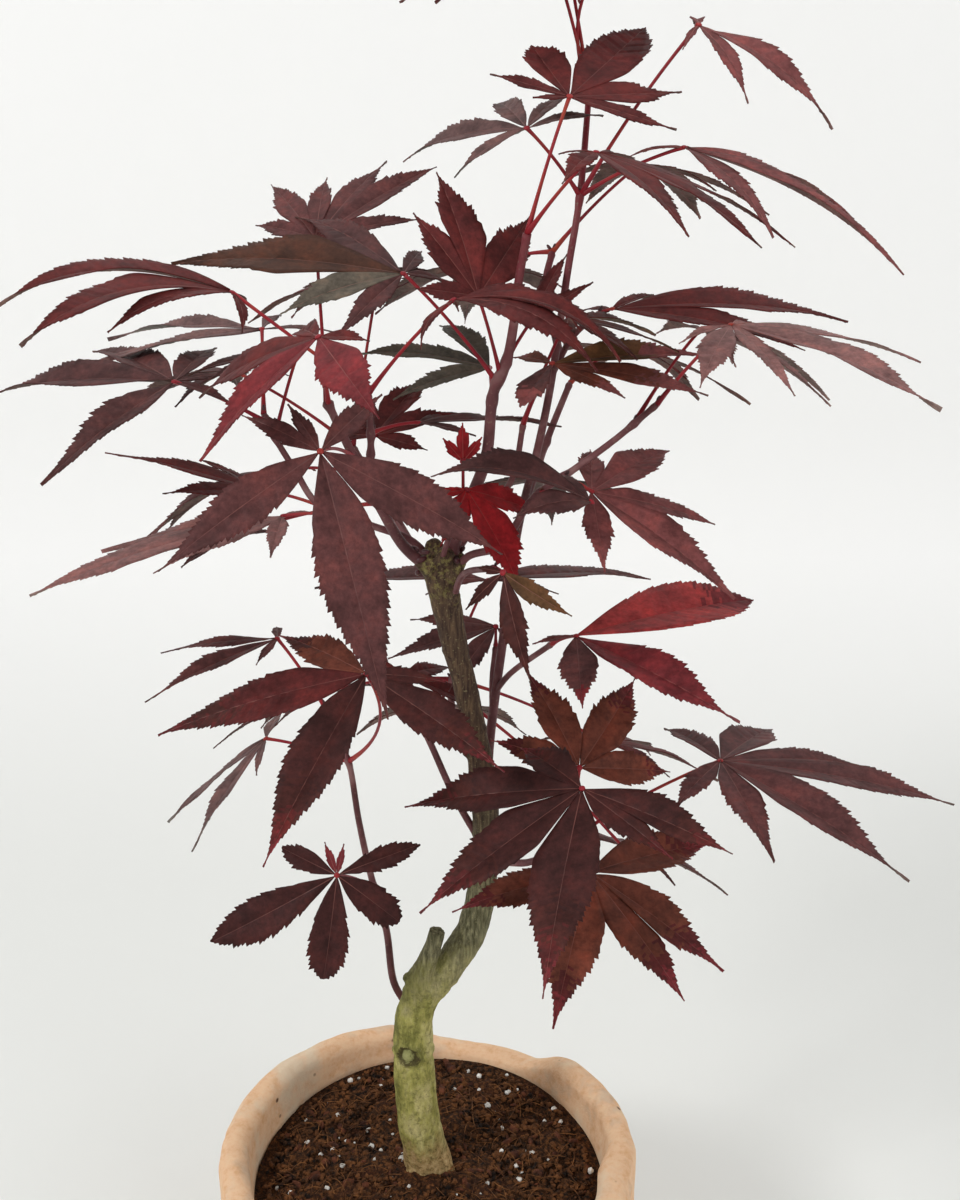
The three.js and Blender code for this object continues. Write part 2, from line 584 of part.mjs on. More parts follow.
const trunkCurve = curveThrough(TRUNK);
const placed = [trunk(trunkCurve)];
const grown = { trunk: trunk(trunkCurve, GAP) };
plant.add(toMesh('trunk', placed[0], BARK));

// The boughs first, then the stems of the masses, so that every leaf can keep clear of them
const stems = [];
for (const shoot of SHOOTS) {
  const curve = curveThrough(shoot.route);
  const radiusAt = radiusBetween(shoot.radii);
  if (shoot.bare > 0) {
    const bough = largestBody(
      limb(curve, 0, shoot.bare, radiusAt, SHOOT_SIDES, SHOOT_STEPS).subtract(grown[shoot.carrier]),
    );
    grown[shoot.name] = limb(curve, 0, shoot.bare, radiusAt, SHOOT_SIDES, SHOOT_STEPS, GAP);
    placed.push(bough);
    plant.add(toMesh(`${shoot.name}_stem`, bough, SHOOT_BARK));
  }
  const start = shoot.bare > 0 ? shoot.bare + GAP / curve.getLength() : 0;
  const whole = limb(curve, start, 1, radiusAt, SHOOT_SIDES, SHOOT_STEPS);
  const stem = shoot.bare > 0 ? whole : largestBody(whole.subtract(grown[shoot.carrier]));
  stems.push({ shoot, curve, stem });
}

for (const { shoot, curve, stem } of stems) {
  const others = stems.filter((entry) => entry.shoot !== shoot).map((entry) => entry.stem);
  const mass = foliage(curve, shoot, stem, [...placed, ...others]);
  placed.push(mass);
  plant.add(toMesh(`${shoot.name}_foliage`, mass, FOLIAGE));
}

export default plant;
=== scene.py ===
import functools
import math

import bmesh
import bpy
import numpy as np
from bpy.props import FloatProperty, FloatVectorProperty, IntProperty, PointerProperty, StringProperty
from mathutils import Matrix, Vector, noise


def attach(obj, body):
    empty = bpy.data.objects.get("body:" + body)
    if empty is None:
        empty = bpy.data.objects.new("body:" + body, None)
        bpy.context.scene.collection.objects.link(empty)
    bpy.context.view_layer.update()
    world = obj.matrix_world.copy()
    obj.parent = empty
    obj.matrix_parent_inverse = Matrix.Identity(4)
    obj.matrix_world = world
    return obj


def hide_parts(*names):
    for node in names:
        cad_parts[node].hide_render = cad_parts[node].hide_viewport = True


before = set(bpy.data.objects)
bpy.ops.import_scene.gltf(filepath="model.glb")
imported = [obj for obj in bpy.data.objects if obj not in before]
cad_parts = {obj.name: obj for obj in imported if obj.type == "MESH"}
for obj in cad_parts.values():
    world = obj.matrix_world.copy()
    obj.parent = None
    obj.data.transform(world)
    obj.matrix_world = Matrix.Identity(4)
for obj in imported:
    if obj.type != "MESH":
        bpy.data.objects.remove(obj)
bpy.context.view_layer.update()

bl_info = {
    "name": "Potted red maple",
    "version": (1, 0, 0),
    "blender": (4, 5, 0),
    "location": "3D View > Sidebar > Maple",
    "description": "Dresses a young red-leaved maple in a hand-made clay pot",
    "category": "Add Mesh",
}

# Sizes in this file are millimetres, and every finished mesh is in metres
MM = 0.001


# Colours

def colour(hex_value):
    """Linear red, green, blue and alpha of an sRGB hex colour."""
    parts = [int(hex_value[i:i + 2], 16) / 255 for i in (1, 3, 5)]
    return [c / 12.92 if c <= 0.04045 else ((c + 0.055) / 1.055) ** 2.4 for c in parts] + [1.0]


# Upper and lower skin of each leaf tint
# The grey plum and rose plum tints are a plum leaf colour with painted sheen mixed in, the grey of sky light
# glancing off the leaves
LEAF_TINTS = {
    "plum": ("#5b3534", "#71605a"),
    "maroon": ("#592423", "#6e564f"),
    "wine": ("#784342", "#7c5e58"),
    "rose_plum": ("#865e5b", "#857069"),
    "grey_plum": ("#6c514f", "#86817a"),
    "dark": ("#523231", "#5c4a45"),
    "near_black": ("#42211f", "#52403b"),
    "russet": ("#6a372a", "#745546"),
    "brown": ("#492420", "#6c5643"),
    "bronze": ("#5e4028", "#6d6448"),
    "umber": ("#4a2c20", "#6c5643"),
    "sage": ("#5f564b", "#7d7a6b"),
    "claret": ("#732a2e", "#7a4648"),
    "crimson": ("#a03a3a", "#834649"),
    "scarlet": ("#941e23", "#7a1218"),
}


# The plant, in the same terms as its solids: a leaf has the place of its stalk on the stem as a share
# of the route, its hub, heading, dip, roll, droop, and the angle and length of each lobe

def leaf(at, hub, heading, dip, roll, droop, lobes, tint, via=None, odd=None, wide=1, tips=None):
    """One leaf. A lobe is its angle and length, then its width against a usual one and its bluntness
    if it has its own. odd gives another tint to the lobe at an angle, and tips another tint to all
    lobes from a share of their length on."""
    return {
        "at": at, "hub": hub, "heading": heading, "dip": dip, "roll": roll, "droop": droop,
        "lobes": lobes, "tint": tint, "via": via, "odd": odd or {}, "wide": wide, "tips": tips or {},
    }


def plain(length):
    """The lobes of a plain leaf: a long middle one, and a shorter and a short one on either side."""
    return [(0, length), (45, length * 0.86), (-45, length * 0.86), (90, length * 0.5), (-90, length * 0.5)]


def shoot(name, carrier, radii, route, *leaves):
    """A stem on the trunk or on another stem, with its radii at both ends, its route and its leaves."""
    return {"name": name, "carrier": carrier, "radii": radii, "route": route, "leaves": leaves}


SHOOTS = [
    shoot("leader", "trunk", (1.5, 0.8),
          [(18, 6, 203), (19, 13, 226), (21, 14, 245), (23, 14, 261), (27, 13, 295), (32, 11, 318),
           (35, 9, 335), (39, 8, 366), (42, 13, 384), (45, 31, 409)],
          leaf(1, (36, 36, 440), -130, -5, 0, 30, [(0, 48), (45, 42), (-45, 42), (90, 28), (-90, 28)],
               "maroon"),
          leaf(0.86, (70, 9, 426), -22, 12, 15, 42, [(-7, 43), (-40, 28), (-92, 10), (110, 18)], "wine",
               wide=0.8),
          leaf(0.86, (28, 5, 402), 150, 0, -30, 30, [(0, 42), (-45, 34), (-88, 26), (-134, 21), (40, 22)],
               "grey_plum", wide=0.8),
          leaf(0.86, (68, 10, 397), -32, 8, 0, 30, [(0, 66), (-30, 45), (35, 50), (178, 12), (-150, 14)],
               "wine", wide=0.7),
          leaf(1, (52, 30, 444), 25, -25, 0, 30, plain(44), "maroon", via=(36, 38, 432)),
          leaf(1, (38, 40, 446), 105, -20, 0, 30, plain(46), "plum")),
    shoot("crown", "trunk", (1.9, 1.0),
          [(8, 1, 284), (10, 0, 297), (14, -2, 308), (18, -4, 320), (20, -5, 338), (23, -5, 345),
           (25, -6, 356), (26, -7, 366), (28, -8, 378)],
          leaf(1, (38, -4, 410), 60, -22, 20, 0, [(0, 48, 1.3, 0.6), (48, 26, 1.7, 0.5), (-41, 31, 1.4),
               (-74, 27, 0.8), (92, 21, 0.8), (125, 9)], "maroon"),
          leaf(1, (44, -15, 398), -10, 10, 0, 25, [(4, 53), (-51, 43), (-22, 48), (-100, 24), (160, 10),
               (60, 24)], "maroon"),
          leaf(0.6, (-3, 0, 367), 180, -15, -25, 25, [(4, 60, 1.35), (34, 34, 1.3), (-40, 44), (-100, 20),
               (65, 28), (-150, 14)], "dark", odd={4: "umber", 34: "sage"}),
          leaf(0.62, (16, -10, 363), 105, -60, 10, 15, [(5, 36), (30, 27), (-39, 32), (80, 16), (-90, 18)],
               "maroon", wide=1.45),
          leaf(0.55, (19, 22, 338), 175, -15, -15, 25, [(-5, 38), (-60, 40), (40, 30)], "sage"),
          leaf(0.66, (30, -2, 356), 60, -50, 0, 15, [(0, 22), (-40, 18), (40, 16)], "maroon")),
    shoot("right", "trunk", (1.1, 0.8),
          [(9, -1, 285), (13, -3, 292), (22, -6, 296), (26, -8, 303), (30, -9, 310), (41, -8, 318),
           (51, -6, 325), (62, -4, 334)],
          leaf(0.5, (44, -30, 316), -170, -35, -15, 55, [(0, 42), (35, 24), (-45, 22)], "dark", wide=1.5),
          leaf(0.6, (45, -15, 314), -42, 20, 8, 15, [(10, 46), (47, 35), (-40, 27), (99, 44), (130, 26)],
               "wine", wide=1.2),
          leaf(1, (80, -5, 355), -45, 0, 0, 20, [(4, 60), (50, 52), (-33, 42, 0.6), (-64, 38), (-110, 16),
               (100, 18)], "rose_plum"),
          leaf(0.9, (76, 20, 349), 20, 15, 0, 25, plain(48), "rose_plum")),
    shoot("middle", "trunk", (1.0, 0.8),
          [(9, 4, 285), (11, 5, 292), (19, 8, 302), (25, 9, 310), (28, 8, 326)],
          leaf(1, (35, 0, 344), -20, -5, 20, 15, [(-6, 42), (20, 40, 1.2), (-24, 24), (-105, 17, 2, 0.5),
               (149, 16, 1.3)], "russet", odd={20: "bronze", -105: "dark"}, tips={0.6: "wine"}),
          leaf(1, (39, 0, 356), -5, 5, 0, 20, [(0, 30), (-45, 26), (45, 34), (-90, 20)], "brown")),
    shoot("left", "trunk", (1.6, 1.0),
          [(4, 1, 286), (-4, -3, 295), (-10, -8, 308), (-13, -10, 314), (-17, -13, 325), (-22, -16, 338)],
          leaf(0.98, (-21, -40, 359), -148, 28, 0, 20, [(0, 40), (75, 38), (-55, 42), (116, 14), (-98, 20)],
               "maroon", odd={0: "claret", 75: "claret"}, wide=1.3),
          leaf(1, (-27, 20, 373), 90, -35, -12, 15, [(0, 30), (28, 36), (-27, 38), (55, 24), (-48, 43),
               (-78, 28), (120, 12)], "plum"),
          leaf(0.72, (-21, -45, 333), -80, 50, 0, 20, [(9, 65), (59, 50, 1.15), (-58, 47), (136, 24),
               (-125, 22), (-155, 16)], "plum", wide=1.05)),
    shoot("left_upper", "left", (1.0, 0.8),
          [(-13, -10, 311), (-12, -6, 322), (-12, -8, 338)],
          leaf(1, (10, -20, 364), -30, -15, 10, 70, [(6, 47), (-12, 45), (28, 34), (-120, 16), (120, 9)],
               "maroon"),
          leaf(1, (-45, -10, 364), -172, -25, 0, 55, [(4, 58), (36, 60), (46, 39), (115, 15), (-110, 14)],
               "maroon", via=(-27, -17, 352)),
          leaf(0.4, (-12, 10, 322), 60, -30, 0, 15, [(0, 30), (45, 24), (-45, 24), (90, 16), (-90, 16)],
               "maroon", wide=1.4),
          leaf(0.6, (0, 5, 327), 15, -5, 0, 15, [(0, 40), (-40, 17), (40, 22)], "dark")),
    shoot("far_left", "trunk", (1.1, 0.8),
          [(5, 6, 285), (-2, 4, 294), (-14, 1, 300), (-27, 0, 306), (-33, 2, 315), (-38, 4, 323),
           (-41, 6, 329)],
          leaf(0.5, (-44, 15, 305), 178, -22, 0, 10, [(0, 44), (40, 30), (-40, 26)], "maroon"),
          leaf(0.48, (-37, 5, 301), -155, 0, 0, 15, [(0, 70), (17, 41), (-20, 50), (63, 23), (-150, 12)],
               "rose_plum"),
          leaf(1, (-43, 25, 348), 175, 0, -10, 20, [(-21, 55), (9, 54), (-90, 24), (-153, 23)], "grey_plum",
               wide=0.6),
          leaf(0.96, (-64, 5, 338), 180, 0, -15, 20, [(-16, 60), (53, 47), (-51, 49), (-100, 35), (160, 17),
               (-140, 16)], "dark"),
          leaf(0.9, (-31, 5, 346), 180, 0, 0, 20, [(0, 30), (-35, 24), (30, 28)], "near_black")),
    shoot("low_left", "trunk", (1.2, 0.8),
          [(-3, 0, 137), (-6, 7, 141), (-10, 8, 149), (-12, 8, 168), (-16, 6, 188), (-19, 4, 208),
           (-21, 2, 227), (-23, 1, 234), (-27, 0, 246)],
          leaf(0.45, (-24, -15, 201), -95, 65, 0, 5, [(-4, 30, 1.6, 1), (-58, 42, 1.25, 0.8),
               (57, 22, 1.9, 1), (-112, 18, 1.5, 0.8), (113, 25, 1.1, 0.7), (170, 9), (-155, 10)],
               "near_black", odd={170: "claret", -155: "claret"}),
          leaf(0.84, (-12, -40, 274), -108, 25, 0, 15, [(-8, 56), (-68, 57), (65, 45), (-115, 35, 1.2),
               (101, 20)], "near_black", via=(-5, -16, 247), odd={-68: "maroon", -115: "russet"}, wide=1.15,
               tips={0.6: "brown", 0.76: "maroon", 0.9: "claret"}),
          leaf(0.84, (-45, 5, 234), -175, 30, 0, 15, [(6, 38), (47, 40), (-96, 24), (72, 15)], "grey_plum",
               wide=0.75),
          leaf(1, (-41, 10, 263), -150, 0, 0, 15, [(10, 43), (-36, 35), (43, 14), (-113, 16)], "plum",
               wide=0.75)),
    shoot("low_inner", "trunk", (1.1, 0.9),
          [(18, 6, 197), (9, 9, 213), (2, 10, 230), (-4, 10, 244)],
          leaf(1, (-6, 16, 249), 5, 20, 15, 20, [(0, 28), (45, 24), (-60, 12), (150, 12)], "maroon")),
    shoot("low_right", "trunk", (1.2, 0.9),
          [(17, 6, 187), (20, 3, 194), (30, -8, 201), (36, -15, 208), (43, -20, 217)],
          leaf(1, (42, -50, 247), -97, 20, 7, 15, [(-7, 57), (-49, 51), (48, 30), (-93, 49), (66, 41),
               (-138, 27, 1.6)], "near_black", wide=1.25,
               tips={0.58: "brown", 0.74: "maroon", 0.9: "claret"}),
          leaf(0.96, (43, -25, 240), 55, -35, 38, 20, [(-6, 36), (52, 32), (-57, 29), (100, 25)], "russet",
               wide=1.4, tips={0.68: "maroon", 0.86: "claret"}),
          leaf(0.9, (45, -45, 220), -62, 20, 0, 15, [(8, 41), (-40, 46), (30, 42), (-98, 38), (93, 44)],
               "russet", wide=1.3, tips={0.68: "maroon", 0.84: "claret"}),
          leaf(0.86, (84, -5, 232), -10, 0, 0, 15, [(5, 67), (-39, 64), (25, 48), (-70, 44), (68, 42, 1.5),
               (-118, 25, 1.3), (118, 36)], "plum")),
    shoot("leader_front", "leader", (0.9, 0.8),
          [(21, 14, 245), (25, 8, 253), (36, -6, 268)],
          leaf(1, (42, -15, 274), -35, 0, 10, 10, [(-9, 53), (61, 57, 1.9, 0.5), (-56, 29, 1.5),
               (-150, 12)], "wine", odd={61: "crimson", -9: "claret", -56: "plum"}, tips={0.72: "claret"})),
    shoot("leader_back", "leader", (0.9, 0.8),
          [(20, 14, 238), (20, 21, 246), (21, 24, 255)],
          leaf(1, (21, 24, 261), -165, 0, -25, 20, [(5, 33), (-24, 26), (45, 26), (120, 12)], "dark")),
    shoot("leader_side", "leader", (0.9, 0.8),
          [(35, 9, 338), (41, 14, 348), (48, 20, 353)],
          leaf(1, (52, 22, 354), 0, -8, 10, 22, [(3, 66), (-22, 53), (48, 24), (134, 13), (-150, 13)],
               "maroon")),
    shoot("collar_front", "trunk", (0.9, 0.8),
          [(9, 0, 278), (12, -14, 291), (20, -34, 300)],
          leaf(1, (22, -40, 301), -85, 55, 35, 20, [(7, 28), (50, 21), (-62, 15), (-111, 9)], "brown",
               odd={50: "bronze"})),
    shoot("collar_young", "trunk", (0.8, 0.7),
          [(5, 0, 286), (8, -6, 298), (12, -9, 308)],
          leaf(1, (13, -10, 313), -50, 35, 0, 15, [(1, 30, 1.8), (63, 21, 1.8), (-50, 20, 1.5),
               (-100, 10, 1.3)], "scarlet"),
          leaf(1, (12, -8, 320), 90, -75, 0, 0, [(0, 10), (40, 8), (-40, 8)], "scarlet", wide=1.6)),
    shoot("back_low", "trunk", (1.2, 0.9),
          [(14, 4, 230), (8, 20, 238), (10, 36, 250)],
          leaf(1, (19, 50, 266), 90, 0, 0, 15, [(69, 60), (-60, 62), (100, 20), (-95, 22)], "plum"),
          leaf(0.7, (-30, 45, 231), 130, 20, 0, 25, plain(50), "dark"),
          leaf(0.8, (4, 54, 222), 90, 25, 0, 25, plain(48), "plum"),
          leaf(0.7, (54, 40, 216), 60, 15, 0, 25, plain(50), "maroon"),
          leaf(0.6, (61, 35, 182), 50, 20, 0, 25, plain(46), "plum")),
    shoot("back_left", "trunk", (1.2, 0.9),
          [(5, 3, 280), (-8, 20, 297), (-20, 35, 312)],
          leaf(0.8, (-48, 45, 302), 150, 20, 0, 25, plain(50), "plum"),
          leaf(0.6, (-57, 40, 283), 140, 5, 0, 15, plain(42), "dark"),
          leaf(1, (-56, 50, 331), 145, 10, 0, 25, plain(50), "dark"),
          leaf(1, (-12, 48, 360), 135, 10, 0, 25, plain(48), "maroon")),
    shoot("back_right", "leader", (1.1, 0.9),
          [(29, 12, 303), (36, 28, 318), (42, 38, 330)],
          leaf(0.5, (34, 44, 300), 80, 20, 0, 25, plain(50), "dark"),
          leaf(1, (57, 50, 338), 50, 15, 0, 25, plain(50), "maroon")),
    shoot("back_high", "leader", (1.1, 0.9),
          [(37, 8, 346), (34, 24, 360), (36, 30, 368)],
          leaf(1, (16, 42, 362), 95, 15, 0, 25, plain(50), "plum"),
          leaf(1, (60, 40, 390), 60, 10, 0, 25, plain(48), "maroon")),
]

# Leaf forms, as in the solids, with the teeth and veins that show only here
LOBE_HALF_WIDTH = 0.115
LOBE_CUP = 4
WIDEST_HALF_SECTOR = 1.0
STALK_ARCH = 0.08
PLAIN_SHARE = 0.26
PLAIN_ROWS = 6
ROWS_A_TOOTH = 2
TEETH_A_GROUP = 3
TOOTH_PITCH = 1.5
SLANT = 0.45
RIB_HALF_WIDTH = 0.14
NARROWEST = 0.04
HUB_REACH = 0.6
# Share of the way from the midrib to the edge of each line of points, and the number of the edge's line
RING_SHARES = (0, 0, 0.36, 0.72, 1)
EDGE = len(RING_SHARES) - 1
# How far side veins and the midrib are sunk, and the skin between them raised
VEIN_DEPTH = 0.17
RIB_DEPTH = 0.06
PANEL_RISE = 0.05
BEND_STEPS = 60
# What differs from lobe to lobe or tooth to tooth: sizes of the teeth, shares of the setting's fold, and
# the edges' waves in mm on a lobe of usual length, twist and sway to the side
TOOTH_SIZES = (0.6, 1.3)
FOLDS = (0.2, 2)
BULGES = (0.3, 0.9)
USUAL_LENGTH = 60
TWIST = 0.2
SWAY = 0.035
# A tip's tint begins sooner or later by this share of the lobe, for the lobe and for each face
LOBE_JITTER = 0.06
FACE_JITTER = 0.08
LEAF_SEED = 21

# Trunk: points up its middle, with the radius there
SOIL_HEIGHT = 85
SOIL_HEAP = 5
TRUNK = [
    (-1, 3, 78, 8.2), (0, 2, 85, 7.6), (-1, 1, 92, 7.0), (-3, 0, 108, 6.5), (-4, 0, 127, 6.3),
    (-2.6, 0, 147, 5.6), (7, 2, 159.5, 4.8), (13.5, 4, 170, 4.7), (16, 5, 179, 4.4), (18, 6, 194, 4.0),
    (18, 6, 209, 3.9), (17, 5, 224, 3.7), (14, 4, 242, 3.3), (10, 3, 261, 3.6), (6, 2, 283, 4.4),
    (6, 2, 288.5, 4.6),
]
STUB = [(-4, 0, 143, 4.6), (-2, -1, 156, 3.8), (1.6, -2, 166, 2.8), (3.8, -3, 175, 2.4)]
ROOTS = [(-15, 7.6), (115, 7), (205, 6.6)]
ROOT_TOP = 99
ROOT_RADII = (3.6, 2.4)


# Settings that a user would change

def shade_setting(name, text, hex_value):
    """A setting that holds a colour."""
    return FloatVectorProperty(name=name, description=text, subtype="COLOR",
                               default=colour(hex_value)[:3], min=0, max=1)


class PotSettings(bpy.types.PropertyGroup):
    clay: shade_setting("Clay", "Colour of the fired clay", "#eac09a")
    unevenness: FloatProperty(name="Unevenness", description="Depth of the dents left by the hand",
                              default=0.0007, min=0, unit="LENGTH")
    steps: IntProperty(name="Steps round", description="Steps in the pot's spin", default=200, min=24)


class SoilSettings(bpy.types.PropertyGroup):
    earth: shade_setting("Earth", "Colour of the moist compost", "#452a18")
    crumbs: IntProperty(name="Crumbs", description="Number of loose crumbs", default=6600, min=0)
    fibres: IntProperty(name="Fibres", description="Number of loose fibres", default=420, min=0)
    seed: IntProperty(name="Seed", description="Seed of the scatter", default=11)


class TrunkSettings(bpy.types.PropertyGroup):
    young_bark: shade_setting("Low bark", "Green of the lower trunk", "#a09b56")
    old_bark: shade_setting("High bark", "Grey-brown of the upper trunk", "#4f3d31")
    voxel: FloatProperty(name="Voxel", description="Size of the faces before the relief",
                         default=0.00055, min=0.0003, unit="LENGTH")


class LeafSettings(bpy.types.PropertyGroup):
    thickness: FloatProperty(name="Thickness", description="Thickness of a leaf blade",
                             default=0.00024, min=0.0001, unit="LENGTH")
    teeth: FloatProperty(name="Teeth", description="Depth of the largest teeth", default=0.0011, min=0,
                         unit="LENGTH")
    fold: FloatProperty(name="Fold", description="How far a lobe's edges rise above its midrib",
                        default=0.19, min=0, subtype="FACTOR")


class StageSettings(bpy.types.PropertyGroup):
    floor: shade_setting("Floor", "Colour of the floor and backdrop", "#e6e7e4")
    lens: FloatProperty(name="Lens", description="Focal length on a 36 mm tall frame", default=47, min=10,
                        unit="CAMERA")
    camera_mm: StringProperty(name="Camera place", description="Place of the camera in millimetres",
                              default="16.4, -400, 432")


# Curves and frames

class Route:
    """A centripetal Catmull-Rom curve through points, read by the share of its length."""

    def __init__(self, points, per_span=20):
        p = np.array([point[:3] for point in points], float)
        p = np.vstack([2 * p[0] - p[1], p, 2 * p[-1] - p[-2]])
        places, spans = [], []
        for i in range(1, len(p) - 2):
            knots = np.concatenate([[0], np.cumsum([
                math.sqrt(np.linalg.norm(p[k + 1] - p[k])) for k in (i - 1, i, i + 1)])])
            for t in np.linspace(knots[1], knots[2], per_span, endpoint=False):
                places.append(self._blend(p[i - 1:i + 3], knots, t))
                spans.append(i - 1 + (t - knots[1]) / (knots[2] - knots[1]))
        places.append(p[-2])
        spans.append(len(p) - 3)
        self.places = np.array(places)
        self.spans = np.array(spans, float)
        run = np.concatenate([[0], np.cumsum(np.linalg.norm(np.diff(self.places, axis=0), axis=1))])
        self.length = run[-1]
        self.shares = run / run[-1]

    @staticmethod
    def _blend(p, k, t):
        a = [((k[j + 1] - t) * p[j] + (t - k[j]) * p[j + 1]) / (k[j + 1] - k[j]) for j in range(3)]
        b = [((k[j + 2] - t) * a[j] + (t - k[j]) * a[j + 1]) / (k[j + 2] - k[j]) for j in range(2)]
        return ((k[2] - t) * b[0] + (t - k[1]) * b[1]) / (k[2] - k[1])

    def at(self, shares):
        """Places at shares of the length."""
        return np.stack([np.interp(shares, self.shares, self.places[:, i]) for i in range(3)], axis=-1)

    def radii(self, points, shares):
        """Radii at shares, from points that each hold one as their fourth value."""
        spans = np.interp(shares, self.shares, self.spans)
        return np.interp(spans, range(len(points)), [point[3] for point in points])


def bezier(start, middle, end, shares):
    """Places along a quadratic Bezier curve."""
    s = np.asarray(shares)[:, None]
    return (1 - s) ** 2 * np.array(start) + 2 * s * (1 - s) * np.array(middle) + s ** 2 * np.array(end)


def unit(vectors):
    """Vectors of length one."""
    return vectors / np.linalg.norm(vectors, axis=-1, keepdims=True)


def rings_along(places):
    """Two directions square to a line at each of its places, that turn no more than the line does."""
    tangents = unit(np.gradient(places, axis=0))
    first = np.cross(tangents[0], (0, 1, 0) if abs(tangents[0][1]) < 0.9 else (1, 0, 0))
    across = [first / np.linalg.norm(first)]
    for tangent in tangents[1:]:
        last = across[-1] - tangent * np.dot(across[-1], tangent)
        across.append(last / np.linalg.norm(last))
    across = np.array(across)
    return across, np.cross(tangents, across)


# Templates made by bmesh, and meshes joined from many warped copies of them

def as_arrays(bm):
    """A bmesh's points and faces, and the bmesh freed."""
    bm.verts.index_update()
    places = np.array([vert.co for vert in bm.verts])
    faces = [[vert.index for vert in face.verts] for face in bm.faces]
    bm.free()
    return places, faces


def sheet_template(across, along):
    """A flat grid from -1 to 1 across and from 0 to 1 along."""
    bm = bmesh.new()
    bmesh.ops.create_grid(bm, x_segments=across, y_segments=along, size=1)
    places, faces = as_arrays(bm)
    places[:, 1] = places[:, 1] / 2 + 0.5
    return places, faces


def rod_template(sides, rings):
    """A closed rod of radius one from 0 to 1 along Z, with its ends."""
    bm = bmesh.new()
    bmesh.ops.create_cone(bm, cap_ends=True, segments=sides, radius1=1, radius2=1, depth=1)
    upright = [edge for edge in bm.edges if abs(edge.verts[0].co.z - edge.verts[1].co.z) > 0.5]
    bmesh.ops.subdivide_edges(bm, edges=upright, cuts=rings - 1, use_grid_fill=True)
    bmesh.ops.recalc_face_normals(bm, faces=bm.faces[:])
    places, faces = as_arrays(bm)
    places[:, 2] += 0.5
    return places, faces


def lump_template(detail):
    """A rough ball of radius one."""
    bm = bmesh.new()
    bmesh.ops.create_icosphere(bm, subdivisions=detail, radius=1)
    return as_arrays(bm)


class Joined:
    """Many warped copies of small templates, joined as one mesh."""

    def __init__(self):
        self.places, self.faces, self.slots, self.count = [], [], [], 0

    def add(self, places, faces, slot=0):
        """Adds one copy. slot is its material, or one for each face."""
        self.faces.extend([index + self.count for index in face] for face in faces)
        self.slots.extend(np.broadcast_to(slot, len(faces)).tolist())
        self.places.append(places)
        self.count += len(places)

    def build(self, name, materials, smooth=True):
        """Makes the object. Its points hold its place, and it stays at the origin itself."""
        mesh = bpy.data.meshes.new(name)
        mesh.from_pydata(np.concatenate(self.places) * MM, [], self.faces)
        mesh.polygons.foreach_set("material_index", self.slots)
        mesh.polygons.foreach_set("use_smooth", [smooth] * len(self.slots))
        mesh.update()
        return add_object(name, mesh, materials)


def add_object(name, mesh, materials):
    """Links a mesh with its materials."""
    made = bpy.data.objects.new(name, mesh)
    for material in materials:
        mesh.materials.append(material)
    bpy.context.scene.collection.objects.link(made)
    return made


def along_rod(template, line, radii):
    """A rod template bent along a line, with a radius at each of its places."""
    places, faces = template
    across, other = rings_along(line)
    ring = np.rint(places[:, 2] * (len(line) - 1)).astype(int)
    offset = places[:, :1] * across[ring] + places[:, 1:2] * other[ring]
    return line[ring] + offset * np.asarray(radii)[ring][:, None], faces


# Leaves

def leaf_axes(shape):
    """A leaf's own directions: along its heading, out of its upper side, and to its right."""
    h, d, r = (math.radians(shape[key]) for key in ("heading", "dip", "roll"))
    along = np.array([math.cos(h) * math.cos(d), math.sin(h) * math.cos(d), -math.sin(d)])
    level = np.array([math.cos(h) * math.sin(d), math.sin(h) * math.sin(d), math.cos(d)])
    side = np.cross(along, level)
    up = level * math.cos(r) + side * math.sin(r)
    right = side * math.cos(r) - level * math.sin(r)
    return along, up, right


def half_width(share, length, blunt):
    """Half the width of a lobe at a share of its length: widest before the middle, or past it if blunt."""
    return LOBE_HALF_WIDTH * length * np.sin(math.pi * share ** (0.74 + 0.5 * blunt)) ** (1.6 - 0.8 * blunt)


def half_sectors(lobes):
    """Half the angle to the neighbour on the right and on the left of each lobe, in radians."""
    angles = [lobe[0] for lobe in lobes]
    gaps = [(after - before) % 360 for before, after in zip(angles, angles[1:] + angles[:1])]
    halves = [min(math.radians(gap / 2), WIDEST_HALF_SECTOR) for gap in gaps]
    return list(zip(halves[-1:] + halves[:-1], halves))


def softer_of(one, other, blur):
    """The smaller of two values, with a rounded change from one to the other."""
    mix = np.clip(0.5 + 0.5 * (other - one) / blur, 0, 1)
    return other * (1 - mix) + one * mix - blur * mix * (1 - mix)


@functools.cache
def lobe_template(rows):
    """A flat grid for a lobe: line number from the midrib, side, row, faces, and faces on the midrib."""
    places, faces = sheet_template(2 * EDGE, rows)
    lines = np.rint(np.abs(places[:, 0]) * EDGE).astype(int)
    on_rib = np.array([lines[face].max() <= 1 for face in faces])
    return lines, np.sign(places[:, 0]), np.rint(places[:, 1] * rows).astype(int), faces, on_rib


